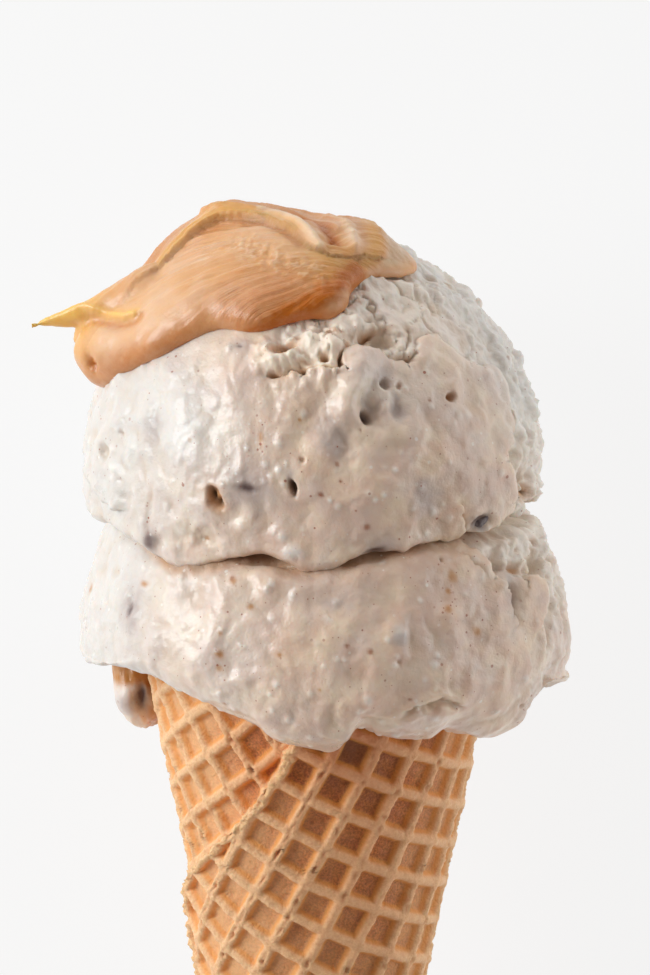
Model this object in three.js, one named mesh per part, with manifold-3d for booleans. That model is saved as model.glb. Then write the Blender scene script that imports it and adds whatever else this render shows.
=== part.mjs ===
// A two-scoop ice cream cone lying on the backs of its scoops.
// Millimetres, +Z up. +Y runs along the cone's axis, from its tip to the top scoop, and the
// side that is served to the front faces +Z. Azimuths go round the axis: 0 is +Z, 90 is +X.

import * as THREE from 'three';
import * as BufferGeometryUtils from 'three/addons/utils/BufferGeometryUtils.js';
import Module from 'manifold-3d';

const wasm = await Module();
wasm.setup();

// ---- driving sizes -------------------------------------------------------------------------

const AXIS = new THREE.Vector3(2.64, 31.78, 33.6); // the mouth of the cone, over the floor
const GAP = 0.3;                                   // between pieces that touch

const WAFER = {
  mouthY: 1,          // the rim, a little above the widest part of the lower scoop
  apexY: -131,        // where the straight sides would meet
  tipY: -126,         // the end of the blunt point
  taper: 0.187,       // radius gained for each millimetre along the axis
  sheet: 1.9,         // thickness of the rolled sheet, and so the step at its outer edge
  fade: 26,           // length over which the step dies away towards the tip
  columns: 28,
};

// The waffle pattern lies straight on the flat sheet before it is rolled. The flat sheet is
// polar: the distance from its centre, and an angle that is TURN times the azimuth.
const FLAT_CENTRE_Y = -140.15;
const HALF_ANGLE = Math.atan(0.189);
const TURN = Math.sin(HALF_ANGLE);
const WAFFLE = { pitch: 5.75, turnDeg: 27.3, acrossOffset: -58.2, alongOffset: 99.1, mouth: 4.5, depth: 1.4 };

const LOWER = { centre: new THREE.Vector3(1, 0, 0), radius: 34.8, columns: 36, rows: 18 };
const UPPER = { centre: new THREE.Vector3(-0.2, 25.8, -1.8), radius: 32.5, columns: 36, rows: 20 };
const CONTACT = { topY: 26, radius: 60 };          // the shallow dome where the scoops meet

const DOLLOP = {
  azimuth: -40,       // the direction of its middle, seen from the upper scoop's centre
  latitude: 70,
  thickness: 3.6,
  sunk: 1.6,          // how far its body is made to pass the scoop before it is trimmed
  columns: 32,
  rows: 12,
};

// ---- small helpers -------------------------------------------------------------------------

const radians = THREE.MathUtils.degToRad;
const degrees = THREE.MathUtils.radToDeg;
const { lerp, smoothstep } = THREE.MathUtils;

/** The point at an azimuth in degrees, a radius and a height along the axis. */
function around(azimuth, radius, y) {
  return new THREE.Vector3(radius * Math.sin(radians(azimuth)), y, radius * Math.cos(radians(azimuth)));
}

/** The unit vector at an azimuth and a latitude in degrees, +Y being latitude 90. */
function direction(azimuth, latitude) {
  return around(azimuth, Math.cos(radians(latitude)), Math.sin(radians(latitude)));
}

/** The signed difference of two azimuths, from -180 to 180. */
function turnBetween(a, b) {
  return THREE.MathUtils.euclideanModulo(a - b + 180, 360) - 180;
}

/** A bump of height 1 at 0 that is nearly gone at twice its width. */
function bump(distance, width) {
  return Math.exp(-((distance / width) ** 2));
}

/** A smooth curve through [azimuth, value] pairs that closes on itself after 360 degrees. */
function closedCurve(pairs) {
  const closed = [...pairs, [pairs[0][0] + 360, pairs[0][1]]];
  const points = closed.map(([azimuth, value]) => new THREE.Vector3(azimuth, value, 0));
  const samples = new THREE.CatmullRomCurve3(points, false, 'catmullrom', 0.5).getPoints(180);
  const start = pairs[0][0];
  return (azimuth) => {
    const wanted = start + THREE.MathUtils.euclideanModulo(azimuth - start, 360);
    const next = Math.max(1, samples.findIndex((sample) => sample.x >= wanted));
    const share = (wanted - samples[next - 1].x) / (samples[next].x - samples[next - 1].x);
    return lerp(samples[next - 1].y, samples[next].y, share);
  };
}

/**
 * A sphere's grid with each vertex moved by place(u, v): u goes round, v from top to bottom.
 * The last column falls on the first, unless the body closes with a step.
 */
function grid(columns, rows, place, stepped = false) {
  const geometry = new THREE.SphereGeometry(1, columns, rows);
  const position = geometry.attributes.position;
  for (let row = 0; row <= rows; row++) {
    for (let column = 0; column <= columns; column++) {
      const turn = stepped ? column : column % columns;
      const point = place(turn / columns, row / rows);
      position.setXYZ(row * (columns + 1) + column, point.x, point.y, point.z);
    }
  }
  return geometry;
}

/** The same body for manifold-3d, with the vertices of neighbouring faces joined. */
function solid(geometry) {
  const bare = geometry.clone();
  bare.deleteAttribute('normal');
  bare.deleteAttribute('uv');
  const joined = BufferGeometryUtils.mergeVertices(bare, 1e-4);
  return new wasm.Manifold(new wasm.Mesh({
    numProp: 3,
    vertProperties: new Float32Array(joined.attributes.position.array),
    triVerts: new Uint32Array(joined.index.array),
  }));
}

/** A three.js geometry of a manifold-3d body. */
function shell(body) {
  const mesh = body.getMesh();
  const geometry = new THREE.BufferGeometry();
  geometry.setAttribute('position', new THREE.BufferAttribute(mesh.vertProperties, 3));
  geometry.setIndex(new THREE.BufferAttribute(mesh.triVerts, 1));
  geometry.computeVertexNormals();
  return geometry;
}

/** The part of a body that stands above the floor, which leaves it a flat spot to rest on. */
function aboveFloor(body) {
  const slab = new THREE.BoxGeometry(120, 120, 20);
  slab.translate(0, 15, -AXIS.z - 10);
  return body.subtract(solid(slab));
}

// ---- the rolled wafer ----------------------------------------------------------------------

/** The azimuth of the sheet's outer edge at a distance from the flat sheet's centre. */
function edgeAzimuth(distance) {
  const below = 132.6 - distance;
  const corner = 21;                              // where the rounded corner of the sheet begins
  const slanted = Math.min(below, corner);
  const slant = -7.7 - 1.1 * slanted - 0.06 * slanted ** 2;
  const turned = Math.max(0, below - corner);
  return slant - 26 * (1 - Math.exp(-turned / 6)) - 0.25 * turned;
}

/** The distance of a height along the axis from the centre of the flat sheet. */
function flatDistance(y) {
  return (y - FLAT_CENTRE_Y) / Math.cos(HALF_ANGLE);
}

/** The wafer's radius at a height, and how many turns from the sheet's outer edge it is. */
function waferRadius(y, turns) {
  const inner = WAFER.taper * (y - WAFER.apexY);
  const step = WAFER.sheet * smoothstep(y - WAFER.tipY, 0, WAFER.fade);
  return inner + step * (1 - turns);
}

/** The wafer without its pattern. Its side is one turn of a spiral that closes with a step. */
function waferBody(extra) {
  const heights = [1, -10, -16, -21, -25.5, -28.5, -31, -35, -46, -80, -108, -120, -125.5];
  const rows = heights.length + 1;
  const { columns } = WAFER;
  const geometry = grid(columns, rows, (u, v) => {
    const row = Math.round(v * rows);
    if (row === 0) return new THREE.Vector3(0, WAFER.mouthY + extra, 0);
    if (row === rows) return new THREE.Vector3(0, WAFER.tipY - extra, 0);
    const y = heights[row - 1];
    const azimuth = edgeAzimuth(flatDistance(y)) + 360 * u;
    return around(azimuth, waferRadius(y, u) + extra, row === 1 ? y + extra : y);
  }, true);
  const wall = [];
  for (let row = 0; row < rows; row++) {
    const inner = row * (columns + 1) + columns;
    const outer = row * (columns + 1);
    const innerBelow = inner + columns + 1;
    const outerBelow = outer + columns + 1;
    if (row !== 0) wall.push(outer, inner, outerBelow);
    if (row !== rows - 1) wall.push(inner, innerBelow, outerBelow);
  }
  geometry.setIndex([...geometry.index.array, ...wall]);
  return solid(geometry);
}

/** One pocket of the pattern: a four-sided point that narrows inwards, set on the wafer's side. */
function pocket(y, azimuth, turns) {
  const { mouth, depth } = WAFFLE;
  const lift = 0.8;                               // how far its wide end stands out of the side
  const height = depth + lift;
  const widest = (mouth * height) / depth / Math.SQRT2;
  const geometry = new THREE.ConeGeometry(widest, height, 4, 1);
  geometry.rotateY(Math.PI / 4);
  geometry.rotateX(-Math.PI / 2);
  geometry.translate(0, 0, lift - height / 2);
  geometry.rotateZ(TURN * radians(azimuth) - radians(WAFFLE.turnDeg));
  const upSide = around(azimuth, WAFER.taper, 1).normalize();
  const roundSide = around(azimuth + 90, 1, 0);
  const outward = new THREE.Vector3().crossVectors(roundSide, upSide);
  geometry.applyMatrix4(new THREE.Matrix4().makeBasis(roundSide, upSide, outward));
  const place = around(azimuth, waferRadius(y, turns), y);
  geometry.translate(place.x, place.y, place.z);
  return solid(geometry);
}

/** The place on the rolled side of a point of the flat sheet, given along and across the pattern. */
function onSheet(along, across) {
  const slant = radians(WAFFLE.turnDeg);
  const flatX = along * Math.cos(slant) - across * Math.sin(slant);
  const flatY = along * Math.sin(slant) + across * Math.cos(slant);
  const distance = Math.hypot(flatX, flatY);
  const azimuth = degrees(Math.atan2(flatY, flatX)) / TURN;
  return { distance, azimuth, turns: (azimuth - edgeAzimuth(distance)) / 360 };
}

/** Whether a pocket's mouth, with some wafer left round it, lies within one turn of the sheet. */
function clearOfEdges(along, across) {
  const half = WAFFLE.mouth / 2 + 0.35;
  const near = 44;                                // no pockets closer to the sheet's centre
  const far = flatDistance(-3);
  return [-1, 0, 1].every((i) => [-1, 0, 1].every((j) => {
    const { distance, turns } = onSheet(along + i * half, across + j * half);
    return distance > near && distance < far && turns > 0 && turns < 1;
  }));
}

/** Every pocket of the pattern, joined into one cutting body. */
function pockets() {
  const { pitch, acrossOffset, alongOffset } = WAFFLE;
  const reach = 40;                               // more than the sheet holds either way
  const cut = [];
  for (let i = -reach; i <= reach; i++) {
    for (let j = -reach; j <= reach; j++) {
      const across = acrossOffset + (i + 0.5) * pitch;
      const along = alongOffset + (j + 0.5) * pitch;
      if (!clearOfEdges(along, across)) continue;
      const { distance, azimuth, turns } = onSheet(along, across);
      cut.push(pocket(distance * Math.cos(HALF_ANGLE) + FLAT_CENTRE_Y, azimuth, turns));
    }
  }
  return wasm.Manifold.union(cut);
}

// ---- the lower scoop -----------------------------------------------------------------------

// Height of the melted skirt's edge at azimuths round the cone.
const skirtEdge = closedCurve([
  [-150, -5], [-112, -4.5], [-85, -1.8], [-62, -2.2], [-48, -2.8], [-30, -5.8], [-18, -8.6], [-8, -10.6],
  [2, -10.7], [11, -8.4], [20, -9], [30, -9.5], [45, -10], [62, -10.8], [75, -7.6], [84, -4.7], [120, -5.6],
  [165, -4],
]);

// Thickness of the skirt over the wafer at its edge.
const skirtLip = closedCurve([
  [-150, 6], [-110, 7], [-80, 7.5], [-60, 5], [-42, 2.6], [0, 2.4], [40, 2.8], [60, 4.6], [84, 8], [130, 6],
]);

/** Soft swelling of the lower scoop's side. */
function lowerSwell(azimuth, latitude) {
  return 0.5 * Math.sin(radians(2 * azimuth + 40)) * Math.cos(radians(latitude * 1.5))
    + 1.3 * bump(turnBetween(azimuth, 72), 26) * bump(latitude - 24, 12)
    - 0.8 * bump(turnBetween(azimuth, 52), 9) * bump(latitude - 22, 10)
    - 0.7 * bump(turnBetween(azimuth, 24), 12) * bump(latitude + 6, 5)
    + 0.35 * Math.sin(radians(7 * azimuth)) * bump(latitude - 8, 16);
}

/** The soft lobe that hangs from the skirt behind the cone's left side. */
function hangingLobe() {
  const geometry = new THREE.SphereGeometry(1, 12, 9);
  geometry.scale(5.2, 6.2, 4.6);
  geometry.rotateY(radians(-116));
  const middle = around(-116, 26.2, -8);
  geometry.translate(middle.x, middle.y, middle.z);
  return solid(geometry);
}

/** The lower scoop, grown by extra, without the hollow that the wafer fills. */
function lowerBody(extra) {
  const { centre, radius, columns, rows } = LOWER;
  const domeRows = 3;
  const sideRows = 8;
  const skirtRows = 5;
  const shoulder = 31;                            // latitude at which the side meets the contact dome
  return grid(columns, rows, (u, v) => {
    const azimuth = -90 + 360 * u;
    const row = Math.round(v * rows);
    const flatness = bump(turnBetween(azimuth, 180), 60);
    const side = (latitude) => radius + extra + (1 - flatness) * lowerSwell(azimuth, latitude);
    if (row <= domeRows) {
      const out = (row / domeRows) * side(shoulder) * Math.cos(radians(shoulder)) * 0.97;
      const sag = CONTACT.radius - Math.sqrt(CONTACT.radius ** 2 - out ** 2);
      return around(azimuth, out, CONTACT.topY - sag + extra).add(centre);
    }
    if (row <= domeRows + sideRows) {
      const latitude = shoulder * (1 - (row - domeRows - 1) / (sideRows - 1));
      return direction(azimuth, latitude).multiplyScalar(side(latitude)).add(centre);
    }
    const edge = skirtEdge(azimuth) - extra;
    const edgeRadius = waferRadius(edge, 0) + skirtLip(azimuth) + extra;
    const below = row - domeRows - sideRows;
    if (below <= skirtRows) {
      const bend = radians((90 * below) / skirtRows);
      const reach = lerp(edgeRadius, side(0), Math.cos(bend));
      const share = 1 - Math.sin(bend);
      return around(azimuth, reach, edge * Math.sin(bend)).addScaledVector(centre, lerp(share, 1, 0.3));
    }
    const left = (rows - row) / (rows - domeRows - sideRows - skirtRows);
    return around(azimuth, edgeRadius * left * 0.9, lerp(-3, edge, left));
  });
}

// ---- the upper scoop -----------------------------------------------------------------------

// Height of the upper scoop's lip at azimuths round the scoop.
const lipEdge = closedCurve([
  [-170, 18.4], [-130, 17.2], [-90, 19.2], [-66, 18.6], [-52, 17.6], [-38, 15.2], [-28, 16.2], [-14, 18.2],
  [-4, 16.6], [4, 16.8], [14, 18.3], [26, 18.7], [37, 19.6], [50, 19.6], [66, 21], [90, 20.4], [130, 18],
]);

/** Soft swelling, folds and hollows of the upper scoop. */
function upperSwell(azimuth, latitude) {
  const fold = turnBetween(azimuth, lerp(6, 16, (latitude - 19) / 17));
  return 0.35 * Math.sin(radians(3 * azimuth + 20)) * Math.cos(radians(latitude))
    + 0.9 * bump(fold - 1, 4) * bump(latitude - 28, 11)
    - 1.1 * bump(fold + 6, 4) * bump(latitude - 17, 7)
    - 0.9 * bump(turnBetween(azimuth, 60), 16) * bump(latitude - 40, 12)
    - 0.8 * bump(turnBetween(azimuth, 22), 6) * bump(latitude - 38, 5)
    - 0.5 * bump(turnBetween(azimuth, -24), 8) * bump(latitude + 9, 6)
    + 0.3 * Math.sin(radians(9 * azimuth)) * bump(latitude - 4, 14);
}

/** The upper scoop, grown by extra, with a plain flat underside. */
function upperBody(extra) {
  const { centre, radius, columns, rows } = UPPER;
  const lipRows = 3;
  const baseRows = 2;
  const domeRows = rows - lipRows - baseRows;
  const equator = -4;                             // latitude from which the side drops to the lip
  const base = -9;                                // height of the underside's middle
  return grid(columns, rows, (u, v) => {
    const azimuth = -90 + 360 * u;
    const row = Math.round(v * rows);
    const flatness = bump(turnBetween(azimuth, 180), 50);
    const side = (latitude) => radius + extra + (1 - flatness) * upperSwell(azimuth, latitude);
    if (row <= domeRows) {
      const latitude = 90 - (90 - equator) * (row / domeRows);
      return direction(azimuth, latitude).multiplyScalar(side(latitude)).add(centre);
    }
    const edge = lipEdge(azimuth) - extra - centre.y;
    const widest = side(equator) * Math.cos(radians(equator));
    const start = side(equator) * Math.sin(radians(equator));
    const lipRadius = widest - 0.9;
    if (row <= domeRows + lipRows) {
      const bend = radians((90 * (row - domeRows)) / lipRows);
      const reach = lerp(lipRadius, widest, Math.cos(bend));
      return around(azimuth, reach, lerp(start, edge, Math.sin(bend))).add(centre);
    }
    const left = (rows - row) / baseRows;
    return around(azimuth, lipRadius * left * 0.96, lerp(base, edge, left)).add(centre);
  });
}

// Chips and crumbs that stand a little proud of each scoop: azimuth, latitude, size.
const UPPER_CHIPS = [
  [-16, 2.4, 2.4], [69, 40.7, 3], [46, -7.5, 3], [-45, -12, 2.4], [58, 18, 2],
  [-10, 34, 4], [-3.5, 37, 4.6], [3, 33.5, 4], [9, 37, 3.4], [-4, 31.5, 3],
];
const LOWER_CHIPS = [[-52.7, 13.8, 2.4], [50.9, 16.6, 2.8], [64, 2, 2]];

/** Chips that are mostly sunk in a scoop's side. */
function chips(list, { centre, radius }) {
  return list.map(([azimuth, latitude, size]) => {
    const geometry = new THREE.IcosahedronGeometry(size / 2, 0);
    const place = direction(azimuth, latitude).multiplyScalar(radius - 0.2 * size).add(centre);
    geometry.translate(place.x, place.y, place.z);
    return solid(geometry);
  });
}

// ---- the dollop ----------------------------------------------------------------------------

// How far the dollop reaches over the scoop at angles about its middle: 0 is towards +X.
const dollopReach = closedCurve([
  [-157, 29.5], [-142, 25.2], [-130, 21.5], [-112, 18.6], [-94, 18.3], [-75, 18.6], [-60, 19], [-43, 16.9],
  [-26, 16.6], [-10, 20.6], [4, 22], [25, 18.5], [60, 15.5], [100, 15], [130, 17], [155, 23], [170, 29.5],
  [188, 32],
]);

/** Thickness of the dollop at a place p towards +X and q towards the back of its middle. */
function dollopHeight(p, q) {
  const ridge = 2.8 * bump(Math.hypot((p + 7) * 0.45, q - 9.5), 4.4);
  const thinRight = smoothstep(p, 8, 22) * -1.6;
  const trail = 5.4 * bump(Math.hypot((p + 29) * 0.55, (q + 1) * 0.65), 4.6);
  const fold = 0.8 * bump(q + 2 + 0.25 * p, 2.2) * bump(p - 8, 9);
  return DOLLOP.thickness + ridge + thinRight + trail + fold;
}

/** The dollop before it is trimmed to the scoop that it lies on. */
function dollopBody() {
  const { azimuth, latitude, sunk, columns, rows } = DOLLOP;
  const middle = direction(azimuth, latitude);
  const right = new THREE.Vector3(1, 0, 0).addScaledVector(middle, -middle.x).normalize();
  const back = new THREE.Vector3().crossVectors(middle, right).multiplyScalar(-1);
  if (back.z > 0) back.multiplyScalar(-1);
  const over = (p, q, height) => {
    const reach = Math.hypot(p, q);
    const angle = reach / UPPER.radius;
    const heading = new THREE.Vector3().addScaledVector(right, p).addScaledVector(back, q);
    if (reach > 0) heading.divideScalar(reach);
    return middle.clone().multiplyScalar(Math.cos(angle)).addScaledVector(heading, Math.sin(angle))
      .multiplyScalar(UPPER.radius + height).add(UPPER.centre);
  };
  const body = solid(grid(columns, rows, (u, v) => {
    const angle = 180 - 360 * u;
    const out = Math.sin(Math.PI * v);
    const reach = dollopReach(-angle) * out;
    const p = reach * Math.cos(radians(angle));
    const q = -reach * Math.sin(radians(angle));
    const top = dollopHeight(p, q) * Math.sqrt(1 - out ** 8);
    return over(p, q, v <= 0.5 ? top : -sunk * Math.abs(Math.cos(Math.PI * v)) ** 0.5);
  }));
  return body.add(horn(over(-15, 1.2, 0.4), over(-28.4, 0, 12.9)));
}

/** The drawn-out point that a spoon leaves, from the middle of its root to its tip. */
function horn(root, tip) {
  const length = root.distanceTo(tip);
  const geometry = new THREE.ConeGeometry(4.8, length, 12, 4);
  const position = geometry.attributes.position;
  for (let index = 0; index < position.count; index++) {
    const share = position.getY(index) / length + 0.5;
    const slim = 1 - 0.3 * Math.sin(Math.PI * share);
    position.setX(index, position.getX(index) * slim);
    position.setZ(index, position.getZ(index) * slim);
  }
  geometry.translate(0, length / 2, 0);
  const aim = new THREE.Vector3().subVectors(tip, root).normalize();
  geometry.applyQuaternion(new THREE.Quaternion().setFromUnitVectors(new THREE.Vector3(0, 1, 0), aim));
  geometry.translate(root.x, root.y, root.z);
  return solid(geometry);
}

// ---- assembly ------------------------------------------------------------------------------

const FINISHES = {
  wafer: { color: '#c98a4e', roughness: 0.75, metalness: 0 },
  iceCream: { color: '#d9cdc0', roughness: 0.45, metalness: 0 },
  spread: { color: '#d79a5c', roughness: 0.35, metalness: 0 },
};

const group = new THREE.Group();
group.position.copy(AXIS);

/** Puts a body into the group as a named mesh. */
function addPiece(name, body, finish) {
  const mesh = new THREE.Mesh(shell(body), new THREE.MeshStandardMaterial(finish));
  mesh.name = name;
  group.add(mesh);
}

const lower = solid(lowerBody(0));
const upper = solid(upperBody(0));
const lowerGrown = solid(lowerBody(GAP));
const upperGrown = solid(upperBody(GAP));

const lowerExtras = [hangingLobe(), ...chips(LOWER_CHIPS, LOWER)];
const scoopLower = wasm.Manifold.union([lower, ...lowerExtras]);
const scoopUpper = wasm.Manifold.union([upper, ...chips(UPPER_CHIPS, UPPER)]);

addPiece('wafer_cone', waferBody(0).subtract(pockets()), FINISHES.wafer);
addPiece('scoop_lower', aboveFloor(scoopLower).subtract(waferBody(GAP)), FINISHES.iceCream);
addPiece('scoop_upper', aboveFloor(scoopUpper).subtract(lowerGrown), FINISHES.iceCream);
addPiece('spread_dollop', dollopBody().subtract(upperGrown), FINISHES.spread);

export default group;
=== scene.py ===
"""A two-scoop ice cream cone under a spoonful of nut spread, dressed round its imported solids.

Sizes are in millimetres in the cone's own frame until a mesh is made: X to the right, Y along the
axis towards the scoops, Z up and towards the viewer, with the mouth of the cone at the origin.
Azimuths go round the axis: 0 is +Z and 90 is +X. Latitudes are seen from a scoop's centre.
"""

import itertools
import logging
import math
from collections.abc import Callable, Sequence
from dataclasses import dataclass, field
from enum import Enum

import bpy
import numpy as np
from bpy.types import Material, Node, NodeSocket, NodeTree, Object
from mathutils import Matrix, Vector
from numpy.typing import NDArray


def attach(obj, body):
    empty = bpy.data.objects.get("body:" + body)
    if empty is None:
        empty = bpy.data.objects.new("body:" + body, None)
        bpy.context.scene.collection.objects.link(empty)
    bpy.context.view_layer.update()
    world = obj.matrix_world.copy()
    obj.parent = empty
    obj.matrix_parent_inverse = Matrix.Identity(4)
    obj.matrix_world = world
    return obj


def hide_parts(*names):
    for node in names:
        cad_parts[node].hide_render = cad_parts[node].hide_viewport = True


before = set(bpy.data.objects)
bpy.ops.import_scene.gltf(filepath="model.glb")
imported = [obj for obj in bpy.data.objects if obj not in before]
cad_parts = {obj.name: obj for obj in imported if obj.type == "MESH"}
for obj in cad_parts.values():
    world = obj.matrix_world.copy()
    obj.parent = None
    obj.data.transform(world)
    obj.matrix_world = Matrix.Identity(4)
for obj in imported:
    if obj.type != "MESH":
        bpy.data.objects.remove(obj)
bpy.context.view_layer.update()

LOG = logging.getLogger("cone")
Floats = NDArray[np.float64]
Curve = Callable[[Floats], Floats]
Place = tuple[Floats, Floats]
Path = tuple[tuple[float, float], ...]
Shell = tuple[Floats, list[tuple[int, ...]]]
Colour = tuple[float, float, float]

MM = 0.001
PER_METRE = 1000.0
MOUTH = np.array([2.64, 31.78, 33.6])  # the mouth of the cone, over the floor
REST = 0.03 - MOUTH[2]  # where the floor is, from the mouth
BODY = "root"


# ---- small helpers ----


def bump(distance: Floats, width: float) -> Floats:
    """A bump of height 1 at 0 that is nearly gone at twice its width."""
    return np.exp(-((distance / width) ** 2))


def ease(value: Floats, low: float, high: float) -> Floats:
    """A smooth step from 0 at low to 1 at high."""
    share = np.clip((value - low) / (high - low), 0.0, 1.0)
    return share * share * (3.0 - 2.0 * share)


def mix(first: Floats | float, second: Floats | float, share: Floats) -> Floats:
    """The value that lies a share of the way from first to second."""
    return first + (second - first) * share


def turn_between(azimuth: Floats, other: Floats | float) -> Floats:
    """The signed difference of two azimuths, from -180 to 180."""
    return np.mod(azimuth - other + 180.0, 360.0) - 180.0


def facing(azimuth: Floats, middle: float, width: float) -> Floats:
    """A bump of height 1 at an azimuth that is nearly gone at twice its width."""
    return bump(turn_between(azimuth, middle), width)


def around(azimuth: Floats, radius: Floats, height: Floats) -> Floats:
    """The points at azimuths in degrees, radii and heights along the axis."""
    angle = np.radians(azimuth)
    parts = np.broadcast_arrays(radius * np.sin(angle), height, radius * np.cos(angle))
    return np.stack(parts, axis=-1).astype(float)


def direction(azimuth: Floats, latitude: Floats) -> Floats:
    """The unit vectors at azimuths and latitudes in degrees."""
    tilt = np.radians(latitude)
    return around(azimuth, np.cos(tilt), np.sin(tilt))


def unit_ball(columns: int, rows: int) -> Floats:
    """A ball of radius 1 as rows of ring points from +Y to -Y."""
    spin = np.linspace(-180.0, 180.0, columns, endpoint=False)
    return np.array([direction(spin, latitude) for latitude in np.linspace(90.0, -90.0, rows)])


def beside(x: Floats, y: Floats, path: Floats) -> tuple[Floats, ...]:
    """Measures places against a path of straight stretches.

    Args:
        x: the places' first coordinate.
        y: their second coordinate.
        path: the path's corners.

    Returns:
        The distance, positive on the path's left, the share of the path's run, and the direction
        to the path's right as its x and y.
    """
    lengths = np.linalg.norm(np.diff(path, axis=0), axis=1)
    nearest = np.full(x.shape, np.inf)
    side, place, right_x, right_y = np.ones((4, *x.shape))
    for start, end, length, run in zip(path, path[1:], lengths, np.cumsum(lengths) - lengths):
        heading = (end - start) / length
        along = np.clip((x - start[0]) * heading[0] + (y - start[1]) * heading[1], 0, length)
        gap_x, gap_y = x - start[0] - along * heading[0], y - start[1] - along * heading[1]
        gap = np.hypot(gap_x, gap_y)
        closer = gap < nearest
        side = np.where(closer, np.sign(heading[0] * gap_y - heading[1] * gap_x), side)
        right_x, right_y = np.where(closer, heading[1], right_x), np.where(closer, -heading[0], right_y)
        place = np.where(closer, (run + along) / lengths.sum(), place)
        nearest = np.where(closer, gap, nearest)
    return nearest * side, place, right_x, right_y


def closed_curve(pairs: Sequence[tuple[float, float]]) -> Curve:
    """Makes a smooth curve that closes on itself after 360 degrees.

    Args:
        pairs: the azimuths and the curve's values there, in rising order.

    Returns:
        A function of azimuths in degrees.
    """
    known = np.array([*pairs, (pairs[0][0] + 360.0, pairs[0][1])], float)
    padded = np.vstack([2 * known[0] - known[1], known, 2 * known[-1] - known[-2]])
    share = np.linspace(0.0, 1.0, 12, endpoint=False)[:, None]
    pieces = []
    for before, start, end, after in zip(padded, padded[1:], padded[2:], padded[3:]):
        lean = (end - before) / 2, (after - start) / 2
        pieces.append(
            start
            + lean[0] * share
            + (3 * (end - start) - 2 * lean[0] - lean[1]) * share**2
            + (2 * (start - end) + lean[0] + lean[1]) * share**3
        )
    samples = np.vstack([*pieces, known[-1:]])
    first = pairs[0][0]
    return lambda azimuth: np.interp(first + np.mod(azimuth - first, 360.0), samples[:, 0], samples[:, 1])


TABLE = 256  # how many slopes and seeds the noise draws
NOISE_SHIFT = 31.7  # keeps the noise's lattice away from the origin
OCTAVE_SHIFT = 17.0  # keeps the layers of the noise apart
SOFT_GAIN = 1.6  # brings the soft noise to about -1 to 1


@dataclass
class Noise:
    """Repeatable soft noise in space."""

    seed: int
    order: NDArray[np.int64] = field(init=False)
    slopes: Floats = field(init=False)
    jitter: Floats = field(init=False)

    def __post_init__(self) -> None:
        """Draws the tables that the noise reads."""
        rng = np.random.default_rng(self.seed)
        self.order = rng.permutation(TABLE)
        slopes = rng.normal(size=(TABLE, 3))
        self.slopes = slopes / np.linalg.norm(slopes, axis=1, keepdims=True)
        self.jitter = rng.random((TABLE, 4))

    def pick(self, cell: NDArray[np.int64]) -> NDArray[np.int64]:
        """A place in the tables for each whole-numbered cell."""
        place = self.order[cell[..., 0] & (TABLE - 1)]
        place = self.order[(place + cell[..., 1]) & (TABLE - 1)]
        return self.order[(place + cell[..., 2]) & (TABLE - 1)]

    def soft(self, points: Floats, size: float) -> Floats:
        """Gradient noise, about -1 to 1, whose swellings are size apart."""
        scaled = points / size + NOISE_SHIFT
        cell = np.floor(scaled).astype(np.int64)
        part = scaled - cell
        fade = part**3 * (part * (part * 6 - 15) + 10)
        total = np.zeros(points.shape[:-1])
        for corner in itertools.product((0, 1), repeat=3):
            step = np.array(corner)
            slope = self.slopes[self.pick(cell + step)]
            weight = np.prod(np.where(step == 1, fade, 1 - fade), axis=-1)
            total += weight * np.sum((part - step) * slope, axis=-1)
        return SOFT_GAIN * total

    def layered(self, points: Floats, size: float, octaves: int, keep: float = 0.5) -> Floats:
        """Soft noise with finer layers on top, each keep times as strong as the last."""
        total = np.zeros(points.shape[:-1])
        for octave in range(octaves):
            total += keep**octave * self.soft(points + OCTAVE_SHIFT * octave, size / 2**octave)
        return total

    def warp(self, points: Floats, size: float, step: float) -> Floats:
        """Soft noise for each of the three directions, whose places lie step apart."""
        shifts = (0.0, step, 2 * step)
        return np.stack([self.layered(points + shift, size, 2) for shift in shifts], axis=-1)

    def cells(self, points: Floats, size: float) -> tuple[Floats, Floats, Floats]:
        """The distances to the nearest and the next scattered seed, in sizes, and the nearest's luck."""
        scaled = points / size + NOISE_SHIFT
        cell = np.floor(scaled).astype(np.int64)
        nearest, following = np.full((2, *points.shape[:-1]), np.inf)
        luck = np.zeros(points.shape[:-1])
        for shift in itertools.product((-1, 0, 1), repeat=3):
            home = cell + np.array(shift)
            drawn = self.jitter[self.pick(home)]
            gap = np.linalg.norm(home + drawn[..., :3] - scaled, axis=-1)
            closer = gap < nearest
            following = np.where(closer, nearest, np.minimum(following, gap))
            nearest = np.where(closer, gap, nearest)
            luck = np.where(closer, drawn[..., 3], luck)
        return nearest, following, luck


# ---- meshes ----


def new_object(name: str, points: Floats, faces: list[tuple[int, ...]]) -> Object:
    """Makes a smooth mesh object with its place in its mesh.

    Args:
        name: the object's name.
        points: its vertices in millimetres, in the cone's frame.
        faces: its faces as vertex numbers.

    Returns:
        The new object, linked to the scene.
    """
    mesh = bpy.data.meshes.new(name)
    mesh.from_pydata(((points.reshape(-1, 3) + MOUTH) * MM).tolist(), [], faces)
    mesh.shade_smooth()
    mesh.validate()
    obj = bpy.data.objects.new(name, mesh)
    bpy.context.scene.collection.objects.link(obj)
    return obj


def points_of(obj: Object) -> Floats:
    """An object's vertices in millimetres, in the cone's frame."""
    flat = np.zeros(len(obj.data.vertices) * 3)
    obj.data.vertices.foreach_get("co", flat)
    return flat.reshape(-1, 3) / MM - MOUTH


def move_points(obj: Object, points: Floats) -> None:
    """Puts an object's vertices at new places, in millimetres in the cone's frame."""
    obj.data.vertices.foreach_set("co", ((points + MOUTH) * MM).ravel())
    obj.data.update()


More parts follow.
